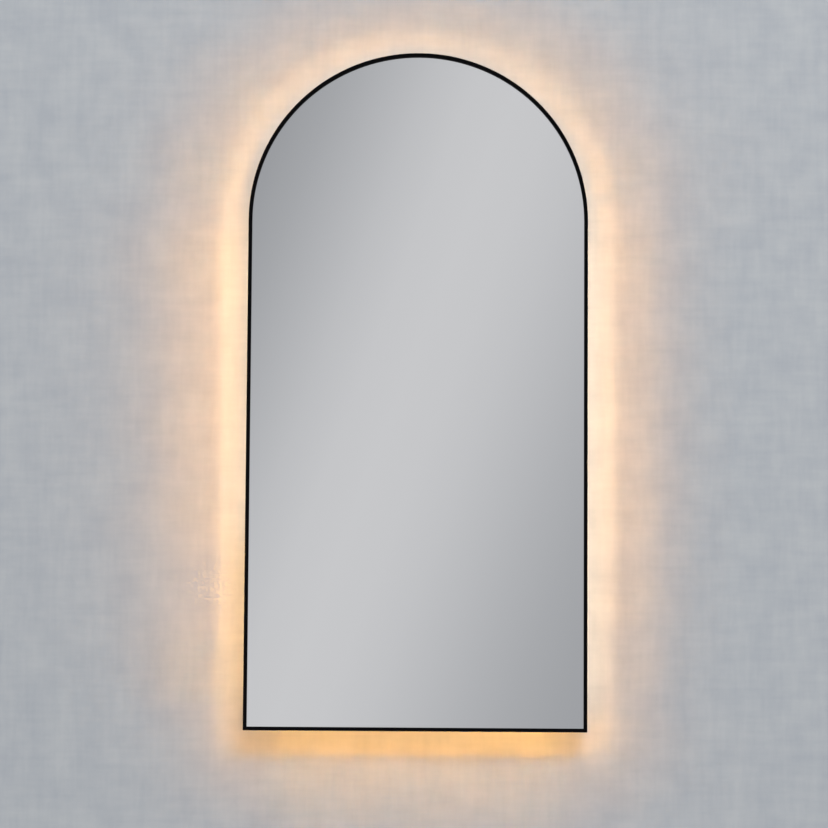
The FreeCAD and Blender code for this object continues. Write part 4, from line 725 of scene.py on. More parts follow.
# Polyphthalamide, moulded: the bright white cup of a light chip.
CHIP_BODY = MouldedPlastic("moulded_polyphthalamide_white", "#f2f2ee", 0.35, texture=0.3 * MM,
                           shade="#e6e6e0")
# Silicone with phosphor, poured into that cup: egg-yolk yellow.
CHIP_PHOSPHOR = MouldedPlastic("phosphor_silicone_yellow", "#f2c84b", 0.3, texture=0.3 * MM,
                               shade="#e5b53a")
# PVC, extruded over a lead: a smooth soft white.
WHITE_PVC = MouldedPlastic("extruded_pvc_white", "#e6e6e2", 0.4, texture=1.8 * MM,
                           texture_depth=0.02 * MM, shade="#dcdcd6")
# PVC, extruded over each core: plain signal colours. The green one has a yellow cast.
CORES = tuple(
    MouldedPlastic(f"extruded_pvc_{name}", colour, 0.38, texture=0.5 * MM, shade=shade)
    for name, colour, shade in (("brown", "#6a3d22", "#5c331b"), ("green", "#3f8a3c", "#c9c23a"),
                                ("blue", "#2a5fa8", "#244f8d")))


# ---------------------------------------------------------------------------------------------
# Pieces
# ---------------------------------------------------------------------------------------------

def outline(shape: bmesh.types.BMesh, inset: float, depth: float,
            steps: int) -> list[bmesh.types.BMEdge]:
    """Draws the frame's outline, moved inward, as a closed loop of edges.

    Args:
        shape: the mesh that gets it.
        inset: how far inward of the frame's outer face it runs.
        depth: how far before the wall.
        steps: edges round the arch.

    Returns:
        The loop's edges.
    """
    radius = HALF_WIDTH - inset
    first = shape.verts.new((radius, -depth, 0))
    bmesh.ops.spin(shape, geom=[first], cent=(0, 0, 0), axis=(0, 1, 0), angle=-math.pi,
                   steps=steps)
    arch = [vert for vert in shape.verts if abs(vert.co.y + depth) < WELD]
    last = min(arch, key=lambda vert: vert.co.x)
    foot = FRAME_BOTTOM + inset
    corners = [shape.verts.new((side * radius, -depth, foot)) for side in (-1, 1)]
    for start, end in ((last, corners[0]), (corners[0], corners[1]), (corners[1], first)):
        shape.edges.new((start, end))
    loop = {*arch, *corners}
    return [edge for edge in shape.edges if edge.verts[0] in loop and edge.verts[1] in loop]


def arched_sheet(inset: float, back: float, front: float, steps: int) -> bmesh.types.BMesh:
    """Makes a flat sheet in the frame's outline.

    Args:
        inset: how far inward of the frame's outer face its edge is.
        back: the depth of its back.
        front: the depth of its front.
        steps: edges round the arch.

    Returns:
        The mesh.
    """
    shape = bmesh.new()
    face = bmesh.ops.contextual_create(shape, geom=outline(shape, inset, back, steps))["faces"]
    moved = bmesh.ops.extrude_face_region(shape, geom=face)["geom"]
    bmesh.ops.translate(shape, verts=[item for item in moved
                                      if isinstance(item, bmesh.types.BMVert)],
                        vec=INTO_WALL * (back - front))
    bmesh.ops.recalc_face_normals(shape, faces=shape.faces)
    return shape


def arched_rim(outer: float, inner: float, back: float, front: float,
               steps: int) -> bmesh.types.BMesh:
    """Makes a flat rim that follows the frame's outline.

    Its inner loop is drawn a hair in front of the outer one, so that the two stay apart, and
    then both are laid level.

    Args:
        outer: the inset of its outer edge.
        inner: the inset of its inner edge.
        back: the depth of its back.
        front: the depth of its front.
        steps: edges round the arch.

    Returns:
        The mesh.
    """
    shape = bmesh.new()
    loops = outline(shape, outer, back, steps)
    loops += outline(shape, inner, back + HAIR, steps)
    faces = bmesh.ops.bridge_loops(shape, edges=loops)["faces"]
    for vert in shape.verts:
        vert.co.y = -back
    moved = bmesh.ops.extrude_face_region(shape, geom=faces)["geom"]
    bmesh.ops.translate(shape, verts=[item for item in moved
                                      if isinstance(item, bmesh.types.BMVert)],
                        vec=INTO_WALL * (back - front))
    bmesh.ops.recalc_face_normals(shape, faces=shape.faces)
    return shape


def merged_copy(node: str) -> bmesh.types.BMesh:
    """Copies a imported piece's mesh, joins its loose triangles and makes its flats whole.

    Args:
        node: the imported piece.

    Returns:
        The mesh.
    """
    shape = bmesh.new()
    shape.from_mesh(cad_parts[node].data)
    bmesh.ops.remove_doubles(shape, verts=shape.verts, dist=WELD)
    bmesh.ops.dissolve_limit(shape, angle_limit=FLAT, verts=shape.verts, edges=shape.edges)
    bmesh.ops.recalc_face_normals(shape, faces=shape.faces)
    return shape


def soften(node: str, suffix: str, width: float, finish: Finish, slot: str,
           body: Body = Body.MIRROR, least_face: float = 20 * SQUARE_MM) -> None:
    """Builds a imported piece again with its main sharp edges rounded.

    Args:
        node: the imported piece, which the new one stands for.
        suffix: what the new piece's name adds to the node's.
        width: how far each edge is rounded.
        finish: its finish.
        slot: the record's material slot.
        body: the body that it rides on.
        least_face: the area over which a face's outer edges are rounded.
    """
    shape = merged_copy(node)
    sharp = [edge for edge in shape.edges
             if edge.is_manifold and edge.is_convex and edge.calc_face_angle(0.0) > ROUNDED
             and min(face.calc_area() for face in edge.link_faces) > least_face]
    bmesh.ops.bevel(shape, geom=sharp, offset=width, offset_type="OFFSET", segments=3,
                    affect="EDGES", profile=0.5, material=-1, clamp_overlap=False)
    bmesh.ops.recalc_face_normals(shape, faces=shape.faces)
    piece = publish(f"{node}_{suffix}", shape, (finish,), body, slot, node)
    piece.modifiers.new("even_shading", "WEIGHTED_NORMAL").keep_sharp = True


def round_wire(name: str, points: Sequence[Vector], radius: float) -> bmesh.types.BMesh:
    """Makes a round wire along a smooth line.

    Args:
        name: a name for the line.
        points: the control points of the line.
        radius: the wire's radius.

    Returns:
        The wire's mesh.
    """
    line = bpy.data.curves.new(name, "CURVE")
    line.dimensions = "3D"
    line.bevel_depth = radius
    line.bevel_resolution = 4
    line.resolution_u = 8
    line.use_fill_caps = True
    spline = line.splines.new("NURBS")
    spline.points.add(len(points) - 1)
    for control, point in zip(spline.points, points):
        control.co = (*point, 1.0)
    spline.order_u = 3
    spline.use_endpoint_u = True
    holder = bpy.data.objects.new(name, line)
    shape = bmesh.new()
    shape.from_mesh(bpy.data.meshes.new_from_object(holder))
    bpy.data.objects.remove(holder)
    bmesh.ops.remove_doubles(shape, verts=shape.verts, dist=WELD)
    bmesh.ops.recalc_face_normals(shape, faces=shape.faces)
    return shape


def publish(name: str, shape: bmesh.types.BMesh, finishes: Sequence[Finish], body: Body,
            slot: str, *replaced: str) -> bpy.types.Object:
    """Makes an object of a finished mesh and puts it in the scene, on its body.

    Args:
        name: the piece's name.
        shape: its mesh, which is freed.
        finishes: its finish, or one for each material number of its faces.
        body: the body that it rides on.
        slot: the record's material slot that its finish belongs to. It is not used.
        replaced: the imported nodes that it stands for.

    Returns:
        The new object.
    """
    mesh = bpy.data.meshes.new(name)
    shape.to_mesh(mesh)
    shape.free()
    for finish in finishes:
        mesh.materials.append(finish.material())
    mesh.shade_smooth()
    mesh.set_sharp_from_angle(angle=CREASED)
    piece = bpy.data.objects.new(name, mesh)
    bpy.context.scene.collection.objects.link(piece)
    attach(piece, body.value)
    if replaced:
        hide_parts(*replaced)
    log.info("built %s with %d faces", name, len(mesh.polygons))
    return piece


# ---------------------------------------------------------------------------------------------
# Sub-assemblies
# ---------------------------------------------------------------------------------------------

class SubAssembly:
    """A part of the mirror that is built and dressed as one."""

    def build(self) -> None:
        """Builds the pieces that stand for packed ones, where it has any."""

    def dress(self) -> None:
        """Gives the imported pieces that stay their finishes."""
        raise NotImplementedError


@dataclass
class FrameHoop(SubAssembly):
    """The black frame: bent arch, sides and bottom rail, with the keys in its groove."""

    def dress(self) -> None:
        """Gives the frame its coat and the keys their zinc."""
        BLACK_COAT.dress("frame_arch", "frame_left_side", "frame_right_side", "frame_bottom_rail")
        ZINC_SHEET.dress("corner_key_left", "corner_key_right", "splice_key_left",
                         "splice_key_right")


@dataclass
class GlassPack(SubAssembly):
    """The mirror glass with the gasket before it, and the film and tape behind it.

    The silver lies behind 4 mm of clear glass, which the eye takes for 2.6 mm. So it is drawn
    that far behind the front, and the glass itself shows as the ground rim before it.
    """

    silver_sunk: float = 2.6 * MM
    rim: float = 1.2 * MM
    arch_steps: int = 96

    def build(self) -> None:
        """Builds the silvered sheet and the ground rim of the clear glass."""
        low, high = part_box("mirror_glass")
        inset = HALF_WIDTH - high.x
        front, back = -low.y, -high.y
        silver = front - self.silver_sunk
        sheet = arched_sheet(inset, back, silver, self.arch_steps)
        publish("mirror_silvering", sheet, (MIRROR_SILVER,), Body.MIRROR, "mirror_glass",
                "mirror_glass")
        rim = arched_rim(inset, inset + self.rim, silver, front, self.arch_steps)
        publish("mirror_glass_rim", rim, (GROUND_RIM,), Body.MIRROR, "mirror_glass",
                "mirror_glass")

    def dress(self) -> None:
        """Gives each layer its finish."""
        PLAIN_FILM.dress("safety_film")
        CELL_FOAM.dress("lip_gasket", "bonding_tape")


@dataclass
class BackPanel(SubAssembly):
    """The steel panel and what stiffens it and hangs it on the wall.

    Each bar is cut from its own stretch of sheet, so that no two have the same zinc flowers.
    """

    sheared_edge: float = 0.3 * MM
    cut_apart: float = 0.7
    rubber_edge: float = 1.2 * MM

    def build(self) -> None:
        """Builds crossbars and cleats with their sheared edges broken, and the round bumpers."""
        pieces = (("upper_crossbar", Body.MIRROR), ("lower_crossbar", Body.MIRROR),
                  ("mirror_cleat", Body.MIRROR), ("wall_cleat", Body.WALL_RAIL))
        for number, (node, body) in enumerate(pieces):
            zinc = replace(ZINC_SHEET, title=f"{ZINC_SHEET.title}_{node}",
                           cut_from=number * self.cut_apart)
            soften(node, "folded", self.sheared_edge, zinc, "zinc_steel", body)
        for node in ("bumper_left", "bumper_right"):
            soften(node, "moulded", self.rubber_edge, SOLID_RUBBER, "bumper_rubber",
                   least_face=0.0)

    def dress(self) -> None:
        """Gives the panel its coat."""
        PANEL_COAT.dress("back_panel")


@dataclass
class LightRing(SubAssembly):
    """The channel round the back panel with its opal covers, strips and chips."""

    chip_wall: float = 0.35 * MM
    chip_dip: float = 0.15 * MM

    def outward(self, node: str, middle: Vector) -> Vector:
        """Gives the way that a light chip looks.

        Args:
            node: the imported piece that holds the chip.
            middle: the middle of one of its faces.

        Returns:
            The way out of the rim at that place.
        """
        if node == "led_chips_bottom":
            return Vector((0, 0, -1))
        if middle.z > 0:
            return Vector((middle.x, 0, middle.z)).normalized()
        return Vector((math.copysign(1, middle.x), 0, 0))

    def build(self) -> None:
        """Builds the chips: white bodies, each with a shallow well of phosphor."""
        for node in ("led_chips_hoop", "led_chips_bottom"):
            shape = merged_copy(node)
            fronts = [face for face in shape.faces
                      if face.normal.dot(self.outward(node, face.calc_center_median()))
                      > LOOKS_THERE]
            bmesh.ops.inset_individual(shape, faces=fronts, thickness=self.chip_wall,
                                       depth=-self.chip_dip)
            for face in fronts:
                face.material_index = 1
            publish(f"{node}_with_wells", shape, (CHIP_BODY, CHIP_PHOSPHOR), Body.MIRROR,
                    "light_chip", node)

    def dress(self) -> None:
        """Gives each length its finish, with the pattern along its own run."""
        face_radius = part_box("led_diffuser_arch")[1].x
        for run in Run:
            metal = MillAluminium(f"mill_finish_aluminium_{run.value}", "#c3c5c8", 0.38, 1.0,
                                  run=run)
            metal.dress(f"led_channel_{run.value}")
            cover = LitOpal(f"lit_opal_polycarbonate_{run.value}", "#cbc5ba", 0.45, run=run,
                            face_radius=face_radius)
            cover.dress(f"led_diffuser_{run.value}")
        WHITE_FLEX.dress("led_strip_hoop", "led_strip_bottom", "strip_link_left",
                         "strip_link_right")


@dataclass
class Electrics(SubAssembly):
    """The driver, the wiring box and the leads between them."""

    moulded_edge: float = 0.7 * MM
    least_face: float = 60 * SQUARE_MM
    lead_depth: float = 27.2 * MM
    bared_length: float = 11 * MM
    pole_pitch: float = 10 * MM
    core_radius: float = 1.15 * MM
    core_reach: float = 4 * MM
    core_bundle: float = 0.12

    def build(self) -> None:
        """Builds the moulded housings, and the lead with its cores bared in the wiring box."""
        for node, body in (("driver_base", Body.MIRROR), ("driver_cover", Body.MIRROR),
                           ("wiring_box", Body.MIRROR), ("box_lid", Body.BOX_LID)):
            soften(node, "moulded", self.moulded_edge, WHITE_ABS, "housing_white", body,
                   self.least_face)
        soften("cable_clips", "moulded", self.moulded_edge / 2, WHITE_ABS, "housing_white")
        soften("terminal_block", "moulded", self.moulded_edge / 2, TERMINAL_NYLON,
               "terminal_plastic")
        self.build_lead()

    def build_lead(self) -> None:
        """Cuts the sheath back above the terminal block and leads three cores to its clamps.

        In the sheath the cores lie together, at a small share of the clamps' pitch.
        """
        low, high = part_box("terminal_block")
        block = (low + high) / 2
        sheath_end = high.z + self.bared_length
        sheath = merged_copy("mains_lead")
        cut = bmesh.ops.bisect_plane(
            sheath, geom=[*sheath.verts, *sheath.edges, *sheath.faces],
            plane_co=(0, 0, sheath_end), plane_no=(0, 0, -1), clear_outer=True)
        rim = [item for item in cut["geom_cut"] if isinstance(item, bmesh.types.BMEdge)]
        bmesh.ops.holes_fill(sheath, edges=rim)
        bmesh.ops.recalc_face_normals(sheath, faces=sheath.faces)
        publish("mains_lead_sheath", sheath, (WHITE_PVC,), Body.MIRROR, "lead_white",
                "mains_lead")
        for pole, core in zip((-self.pole_pitch, 0.0, self.pole_pitch), CORES):
            start = Vector((block.x + pole * self.core_bundle, -self.lead_depth,
                            sheath_end + self.core_reach))
            end = Vector((block.x + pole, block.y, high.z))
            points = [start, start - Vector((0, 0, 2 * self.core_reach)),
                      end + Vector((0, 0, self.core_reach)),
                      end - Vector((0, 0, self.core_reach))]
            wire = round_wire(core.title, points, self.core_radius)
            publish(f"mains_core_{core.title.rsplit('_', 1)[1]}", wire, (core,), Body.MIRROR,
                    "lead_white", "mains_lead")

    def dress(self) -> None:
        """Gives board, terminals, light lead and grommets their finishes."""
        WHITE_ABS.dress("board_pillars")
        GREEN_BOARD.dress("driver_board")
        DARK_CASE.dress("driver_components")
        CLAMP_BRASS.dress("terminal_clamps")
        WHITE_PVC.dress("light_lead")
        SOLID_RUBBER.dress("inlet_grommet", "lead_grommet")


@dataclass
class Fasteners(SubAssembly):
    """Screws, rivets and the hinge pin."""

    def dress(self) -> None:
        """Gives them their plating."""
        BRIGHT_STEEL.dress("panel_screws", "channel_screws", "key_screws", "driver_screws",
                           "box_screw", "bumper_screws", "hinge_pin", "terminal_screws")
        RIVET_METAL.dress("crossbar_rivets", "cleat_rivets")


# ---------------------------------------------------------------------------------------------
# Stage, light and camera
# ---------------------------------------------------------------------------------------------

@dataclass
class Stage:
    """A plastered wall and a plain floor."""

    wall_gap: float = 0.5 * MM
    wall_reach: float = 7.0
    floor_reach: float = 40.0
    floor_height: float = -1.6

    def sheet(self, name: str, middle: Vector, turn: Matrix, reach: float,
              finish: Finish) -> bpy.types.Object:
        """Makes one square sheet.

        Args:
            name: the sheet's name.
            middle: its middle.
            turn: its turn from lying flat.
            reach: half its side.
            finish: its finish.

        Returns:
            The new object.
        """
        shape = bmesh.new()
        bmesh.ops.create_grid(shape, x_segments=1, y_segments=1, size=reach,
                              matrix=Matrix.Translation(middle) @ turn)
        mesh = bpy.data.meshes.new(name)
        shape.to_mesh(mesh)
        shape.free()
        mesh.materials.append(finish.material())
        made = bpy.data.objects.new(name, mesh)
        bpy.context.scene.collection.objects.link(made)
        return made

    def build(self) -> bpy.types.Object:
        """Makes the wall, which keeps no light off the back of the mirror, and the floor.

        Returns:
            The wall.
        """
        plaster = PlasterWall("limewashed_plaster", "#b5b9bd", 0.9)
        upright = Matrix.Rotation(math.radians(90), 4, "X")
        above_floor = Vector((0, self.wall_gap, self.floor_height + self.wall_reach))
        wall = self.sheet("wall", above_floor, upright, self.wall_reach, plaster)
        wall.visible_shadow = False
        wall.visible_glossy = False
        wall.visible_diffuse = False
        screed = PaleFloor("pale_screed", "#c6cace", 0.7)
        floor = self.sheet("floor", Vector((0, 0, self.floor_height)), Matrix.Identity(4),
                           self.floor_reach, screed)
        floor.visible_glossy = False
        floor.visible_diffuse = False
        log.info("built the wall and the floor")
        return wall


@dataclass(frozen=True)
class RoomBand:
    """What the glass shows of the room: a slanting band of soft light, cooler beside it.

    A ray's two slopes, sideways and upward for each metre forward, are weighed and added up to
    its distance across the band. The photograph's own view stays within the reach to either
    side. Past it the distance grows more slowly, and then the band repeats.
    """

    slope_weights: tuple[float, float] = (22.28, -8.30)
    middle: float = -1.0795
    reach: float = 2.4
    slower: float = 0.12
    least_forward: float = 0.12
    bright: float = 0.572
    left_tone: float = 0.266
    left_width: float = 1.198
    right_tone: float = 0.3205
    right_width: float = 1.359
    edge_power: float = 2.14
    tint: tuple[float, float, float] = (0.993, 0.99, 1.015)
    cooling: tuple[float, float, float] = (-0.05, 0.0, 0.07)
    steps: int = 16

    def colour(self, distance: float) -> tuple[float, float, float, float]:
        """Gives the room's linear colour at a distance from the band's middle.

        Args:
            distance: how far to the right of the middle, across the band.

        Returns:
            Red, green and blue, and an alpha of 1.
        """
        low, width = ((self.left_tone, self.left_width) if distance < 0
                      else (self.right_tone, self.right_width))
        share = math.exp(-(abs(distance) / width) ** self.edge_power)
        tone = low + (self.bright - low) * share
        cool = (self.bright - tone) / self.bright
        red, green, blue = (tone * (part + colder * cool)
                            for part, colder in zip(self.tint, self.cooling))
        return red, green, blue, 1.0

    def build(self, tree: bpy.types.NodeTree, way: bpy.types.Node) -> bpy.types.NodeSocket:
        """Adds the nodes that give the band's colour for the way that a ray goes.

        Args:
            tree: the world's tree.
            way: its node with the parts of the ray's direction.

        Returns:
            The colour's socket.
        """
        level = add_node(tree, "Math", links={0: way.outputs["Y"]}, operation="ABSOLUTE")
        ahead = add_node(tree, "Math", {1: self.least_forward}, {0: level.outputs[0]},
                         operation="MAXIMUM")
        sideways, upward = (add_node(tree, "Math", links={0: way.outputs[axis],
                                                          1: ahead.outputs[0]},
                                     operation="DIVIDE") for axis in "XZ")
        part = add_node(tree, "Math", {1: self.slope_weights[0], 2: self.reach - self.middle},
                        {0: sideways.outputs[0]}, operation="MULTIPLY_ADD")
        across = add_node(tree, "Math", {1: self.slope_weights[1]},
                          {0: upward.outputs[0], 2: part.outputs[0]}, operation="MULTIPLY_ADD")
        whole = 2 * self.reach
        near = add_node(tree, "Clamp", {"Max": whole}, {"Value": across.outputs[0]})
        beyond = add_node(tree, "Math", links={0: across.outputs[0], 1: near.outputs[0]},
                          operation="SUBTRACT")
        widened = add_node(tree, "Math", {1: self.slower}, {0: beyond.outputs[0],
                                                            2: near.outputs[0]},
                           operation="MULTIPLY_ADD")
        folded = add_node(tree, "Math", {1: whole}, {0: widened.outputs[0]},
                          operation="PINGPONG")
        share = add_node(tree, "Math", {1: whole}, {0: folded.outputs[0]}, operation="DIVIDE")
        places = [step / self.steps for step in range(self.steps + 1)]
        stops = [(place, self.colour((2 * place - 1) * self.reach)) for place in places]
        return add_node(tree, "ValToRGB", links={0: share.outputs[0]}, stops=stops).outputs[0]


@dataclass(frozen=True)
class SoftBox:
    """A soft lamp: where it hangs, how large it is and how much light it gives.

    The share is the light on a surface parallel to the wall, where 1 shows a colour as it is
    written.
    """

    title: str
    place: Vector
    size: tuple[float, float]
    share: float

    def build(self, aim: Vector) -> bpy.types.Object:
        """Hangs the lamp. It doesn't show in metal and glass.

        At a distance, a lamp of (pi * distance) ** 2 watts shows the colour of what faces it
        as it is written. What is aslant to it gets the cosine of that.

        Args:
            aim: the point that it looks at.

        Returns:
            The lamp.
        """
        data = bpy.data.lights.new(self.title, "AREA")
        data.shape = "RECTANGLE"
        data.size, data.size_y = self.size
        sight = aim - self.place
        slant = abs(sight.normalized().y)
        data.energy = self.share * (math.pi * sight.length) ** 2 / slant
        made = bpy.data.objects.new(self.title, data)
        made.matrix_world = (Matrix.Translation(self.place)
                             @ sight.to_track_quat("-Z", "Y").to_matrix().to_4x4())
        made.visible_glossy = False
        bpy.context.scene.collection.objects.link(made)
        return made


@dataclass
class StudioLight:
    """A soft key from the upper right, an even fill, and two lamps for the back."""

    aim: Vector = Vector((0, 0, -0.5))
    key_way: Vector = Vector((0.35, -1.0, 0.9))
    key_distance: float = 8.0
    key_size: tuple[float, float] = (4.8, 1.9)
    key_share: float = 0.4
    fill_share: float = 0.6
    back_lamps: tuple[SoftBox, ...] = (
        SoftBox("back_key", Vector((-2.6, 3.6, 2.2)), (1.4, 1.4), 0.28),
        SoftBox("back_fill", Vector((3.0, 3.4, -0.1)), (2.2, 2.2), 0.14))
    backdrop: str = "#c8cdd2"
    band: RoomBand = RoomBand()
    room_strength: float = 1.125
    wall_strength: float = 1.9

    def world(self) -> None:
        """Sets the world: even light, a pale backdrop, and the room's band in metal and glass.

        What reflects the side of the wall gets more of the band's light, because the wall
        itself doesn't show there.
        """
        world = bpy.data.worlds.new("studio")
        bpy.context.scene.world = world
        world.use_nodes = True
        tree = world.node_tree
        tree.nodes.clear()
        way = add_node(tree, "SeparateXYZ", links={0: add_node(tree, "TexCoord").outputs[0]})
        strength = add_node(tree, "MapRange", {
            "From Min": -0.1, "From Max": 0.4, "To Min": self.room_strength,
            "To Max": self.wall_strength}, {"Value": way.outputs["Y"]})
        seen = add_node(tree, "Background", links={"Color": self.band.build(tree, way),
                                                   "Strength": strength.outputs["Result"]})
        backdrop = add_node(tree, "Background", {"Color": linear(self.backdrop)})
        even = add_node(tree, "Background", {"Color": (1, 1, 1, 1), "Strength": self.fill_share})
        rays = add_node(tree, "LightPath")
        plain = add_node(tree, "MixShader", links={0: rays.outputs["Is Camera Ray"],
                                                   1: even.outputs[0], 2: backdrop.outputs[0]})
        bright = add_node(tree, "Math", links={0: rays.outputs["Is Glossy Ray"],
                                               1: rays.outputs["Is Transmission Ray"]},
                          operation="MAXIMUM")
        shiny = add_node(tree, "MixShader", links={0: bright.outputs[0],
                                                   1: plain.outputs[0], 2: seen.outputs[0]})
        add_node(tree, "OutputWorld", links={0: shiny.outputs[0]})

    def build(self) -> None:
        """Adds the lamps and the world. The back lamps' light isn't passed on by any surface."""
        self.world()
        key_place = self.aim + self.key_way.normalized() * self.key_distance
        SoftBox("key", key_place, self.key_size, self.key_share).build(self.aim)
        for box in self.back_lamps:
            box.build(self.aim).data.cycles.max_bounces = 0
        log.info("lit the studio")


@dataclass(frozen=True)
class GlowSet:
    """One set of slim lamps: the depths between which it lies on a cover's face, its colour,
    and the slope to which its light is narrowed, if it is."""

    title: str
    depths: tuple[float, float]
    colour: tuple[float, float, float]
    slope: float | None = None

    def watts(self, radiance: float, length: float) -> float:
        """Gives the power of a lamp of this set.

        A narrowed lamp's light falls off evenly with the slope, to nothing at the set's own.

        Args:
            radiance: how bright it is, straight on.
            length: how long it is.

        Returns:
            The power in watts.
        """
        area = length * (self.depths[1] - self.depths[0])
        if self.slope is None:
            return math.pi * area * radiance
        half = math.atan(self.slope)
        narrowed = math.sin(half) ** 2 / 2 - (half / 2 - math.sin(2 * half) / 4) / self.slope
        return math.tau * area * radiance * narrowed


AMBER = (1.0, 0.41, 0.03)
FAR = GlowSet("far", (17 * MM, 20 * MM), AMBER, 0.45)
FAR_RIGHT = GlowSet("far", (18 * MM, 21 * MM), AMBER, 0.45)
NEAR = GlowSet("near", (24 * MM, 28 * MM), (1.0, 0.65, 0.34))
NEAR_WARM = GlowSet("near_warm", (24 * MM, 28 * MM), (1.0, 0.52, 0.12))
NEAR_LOW = GlowSet("near_low", (26.5 * MM, 29.5 * MM), (1.0, 0.45, 0.04))


@dataclass(frozen=True)
class SideGlow:
    """How one side glows. Its light fades towards the foot, over a stretch that starts some way
    below the spring line."""

    title: str
    way: int
    far: GlowSet
    far_radiance: float
    far_fall: float
    fade_start: float
    fade_reach: float
    near_at_foot: GlowSet
    corner_near: float

    def dimming(self, below: float) -> float:
        """Gives the share of its light that the side has lost at a height.

        Args:
            below: how far that height is below the spring line.

        Returns:
            The share.
        """
        faded = min(1.0, max(0.0, (below - self.fade_start) / self.fade_reach))
        return self.far_fall / self.far_radiance * faded


LEFT_GLOW = SideGlow("left", -1, FAR, 1900.0, 850.0, 0.36, 0.36, NEAR_WARM, 18.0)
RIGHT_GLOW = SideGlow("right", 1, FAR_RIGHT, 1620.0, 720.0, 0.42, 0.28, NEAR, 22.0)


@dataclass
class RimGlow:
    """The light that leaves the covers for the wall, as slim lamps that ride on the mirror.

    Most of an opal cover's light that gets past the frame's rear edge leaves it nearly level,
    so a narrow amber set reaches far along the wall and a wide paler one lights it near the
    frame. They light the wall alone: the covers' own glow lights the frame's inside. How bright
    a set is, is given in watts for each square metre and steradian.
    """

    lit: bpy.types.Collection
    face_gap: float = 0.2 * MM
    arch_parts: int = 24
    side_parts: int = 6
    foot_parts: int = 2
    bottom_parts: int = 9
    corner_turns: tuple[float, ...] = (18.0, 45.0, 72.0)
    corner_length: float = 38 * MM
    # The arch: its top, what is added towards its two ends, and what the left one has more.
    arch_far: float = 1250.0
    arch_far_aside: float = 560.0
    arch_far_power: float = 1.5
    arch_far_left: float = 100.0
    arch_near: float = 58.0
    # The sides: their top, and how much of their dimming the near light takes part in.
    side_near: float = 84.0
    side_near_fading: float = 0.3
    corner_far: float = 1050.0
    # The bottom: its middle, what both ends lose or gain, and what the right one gains besides.
    bottom_far: float = 1580.0
    bottom_far_fall: float = 280.0
    bottom_near: float = 106.0
    bottom_near_aside: float = 45.0
    bottom_near_right: float = 25.0

    def slim_lamp(self, name: str, middle: Vector, outward: Vector, length: float,
                  shares: dict[GlowSet, float]) -> None:
        """Adds the lamps of one short length of a cover's face.

        Args:
            name: the start of the lamps' names.
            middle: the middle of that length, on the wall plane.
            outward: the way that the cover faces.
            length: how long it is.
            shares: how bright each set is there.
        """
        along = INTO_WALL.cross(-outward)
        turn = Matrix((along, INTO_WALL, -outward)).transposed().to_4x4()
        for glow, radiance in shares.items():
            data = bpy.data.lights.new(f"{name}_{glow.title}", "AREA")
            data.shape = "RECTANGLE"
            data.size, data.size_y = length, glow.depths[1] - glow.depths[0]
            data.spread = math.pi if glow.slope is None else 2 * math.atan(glow.slope)
            data.color = glow.colour
            data.energy = glow.watts(radiance, length)
            lamp = bpy.data.objects.new(data.name, data)
            level = sum(glow.depths) / 2
            lamp.matrix_world = Matrix.Translation(middle - INTO_WALL * level) @ turn
            bpy.context.scene.collection.objects.link(lamp)
            lamp.visible_camera = False
            lamp.visible_glossy = False
            lamp.light_linking.receiver_collection = self.lit
            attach(lamp, Body.MIRROR.value)

    def build_arch(self, radius: float) -> None:
        """Adds the lamps round the arch, which is dimmest at its top.

        Args:
            radius: the radius of the cover's face.
        """
        step = math.pi / self.arch_parts
        for index in range(self.arch_parts):
            angle = (index + 0.5) * step
            outward = Vector((math.cos(angle), 0, math.sin(angle)))
            far = (self.arch_far + self.arch_far_aside * abs(outward.x) ** self.arch_far_power
                   - self.arch_far_left * outward.x)
            self.slim_lamp(f"glow_arch_{index}", radius * outward, outward, radius * step,
                           {FAR: far, NEAR: self.arch_near})

    def build_side(self, side: SideGlow, radius: float, low: float) -> None:
        """Adds the lamps down one side, which gets dimmer towards its foot.

        Args:
            side: the side.
            radius: how far out the cover's face is.
            low: the height of its lower end.
        """
        length = -low / self.side_parts
        outward = Vector((side.way, 0, 0))
        for index in range(self.side_parts):
            height = -(index + 0.5) * length
            dimming = side.dimming(-height)
            at_foot = index >= self.side_parts - self.foot_parts
            near = side.near_at_foot if at_foot else NEAR
            self.slim_lamp(f"glow_{side.title}_{index}", Vector((side.way * radius, 0, height)),
                           outward, length,
                           {side.far: side.far_radiance * (1 - dimming),
                            near: self.side_near * (1 - self.side_near_fading * dimming)})

    def build_corner(self, side: SideGlow, radius: float, low: float) -> None:
        """Adds the lamps of one lower corner, where the light fans out round the mitre.

        Args:
            side: the side whose corner it is.
            radius: how far out the side cover's face is.
            low: the height of the bottom cover's face.
        """
        for index, turn in enumerate(self.corner_turns):
            angle = math.radians(turn)
            outward = Vector((side.way * math.cos(angle), 0, -math.sin(angle)))
            self.slim_lamp(f"glow_corner_{side.title}_{index}",
                           Vector((side.way * radius, 0, low)), outward, self.corner_length,
                           {FAR: self.corner_far, NEAR_LOW: side.corner_near})

    def build_bottom(self, radius: float, low: float) -> None:
        """Adds the lamps along the bottom.

        Args:
            radius: how far the cover reaches to either side.
            low: the height of its face.
        """
        length = 2 * radius / self.bottom_parts
        for index in range(self.bottom_parts):
            place = (index + 0.5) * length - radius
            aside = place / radius
            near = (self.bottom_near + self.bottom_near_aside * aside ** 2
                    + self.bottom_near_right * aside ** 3)
            self.slim_lamp(f"glow_bottom_{index}", Vector((place, 0, low)), Vector((0, 0, -1)),
                           length, {FAR: self.bottom_far - self.bottom_far_fall * aside ** 2,
                                    NEAR_LOW: near})

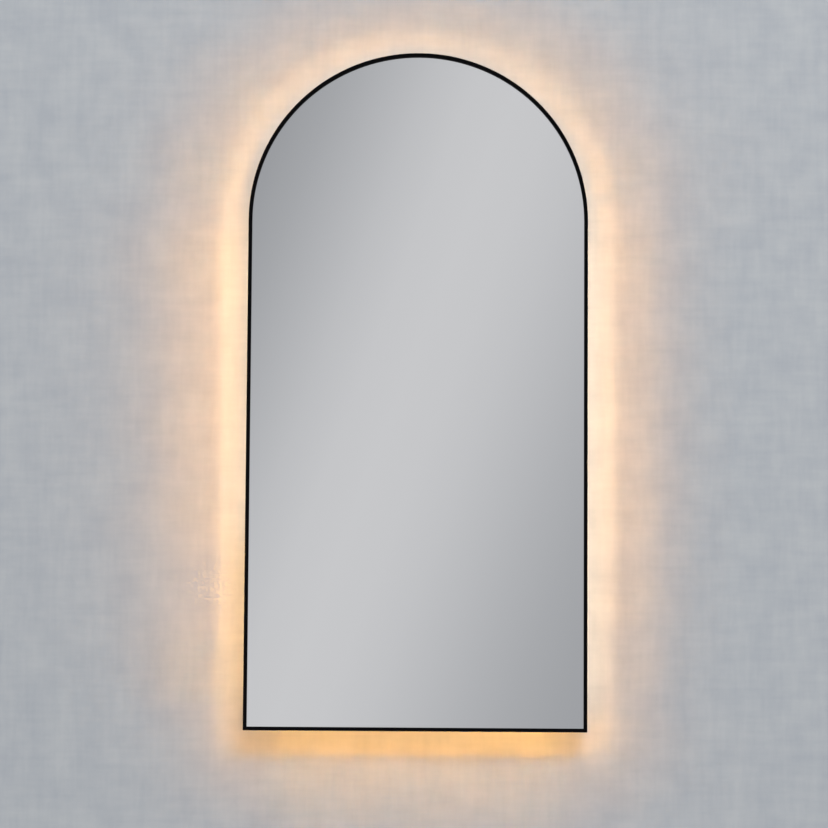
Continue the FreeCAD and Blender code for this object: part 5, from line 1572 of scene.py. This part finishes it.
    def build(self) -> None:
        """Adds the lamps of the arch, the two sides, the two lower corners and the bottom."""
        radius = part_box("led_diffuser_right")[1].x + self.face_gap
        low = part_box("led_diffuser_bottom")[0].z - self.face_gap
        self.build_arch(radius)
        for side in (LEFT_GLOW, RIGHT_GLOW):
            self.build_side(side, radius, low)
        for side in (LEFT_GLOW, RIGHT_GLOW):
            self.build_corner(side, radius, low)
        self.build_bottom(radius, low)
        log.info("added the glow of the rim")


@dataclass
class PhotoCamera:
    """The camera where the photographer stood: 5 m away, a little low and looking up."""

    place: Vector = Vector((0.012, -5.0, -0.805))
    yaw: float = math.radians(0.19)
    pitch: float = math.radians(5.96)
    roll: float = math.radians(0.38)
    lens: float = 148.01
    sensor: float = 36.0

    def build(self) -> None:
        """Adds the camera and makes it the scene's."""
        ahead = Vector((-math.sin(self.yaw), math.cos(self.yaw), 0))
        right = Vector((math.cos(self.yaw), math.sin(self.yaw), 0))
        up = Vector((0, 0, 1))
        ahead, up = (math.cos(self.pitch) * ahead + math.sin(self.pitch) * up,
                     -math.sin(self.pitch) * ahead + math.cos(self.pitch) * up)
        right, up = (math.cos(self.roll) * right + math.sin(self.roll) * up,
                     -math.sin(self.roll) * right + math.cos(self.roll) * up)
        data = bpy.data.cameras.new("photo_camera")
        data.sensor_width = self.sensor
        data.lens = self.lens
        camera = bpy.data.objects.new("photo_camera", data)
        turn = Matrix((right, up, -ahead)).transposed().to_4x4()
        camera.matrix_world = Matrix.Translation(self.place) @ turn
        bpy.context.scene.collection.objects.link(camera)
        bpy.context.scene.camera = camera
        log.info("placed the camera")


def main() -> None:
    """Builds and dresses each sub-assembly, then the stage, the light and the camera."""
    logging.basicConfig(level=logging.INFO, format="%(message)s")
    parts = (FrameHoop(), GlassPack(), BackPanel(), LightRing(), Electrics(), Fasteners())
    for part in parts:
        part.build()
        part.dress()
    PhotoCamera().build()
    wall = Stage().build()
    StudioLight().build()
    lit = bpy.data.collections.new("lit_by_the_rim")
    lit.objects.link(wall)
    RimGlow(lit).build()
    bpy.context.scene.view_settings.view_transform = "Standard"


if __name__ == "__main__":
    main()
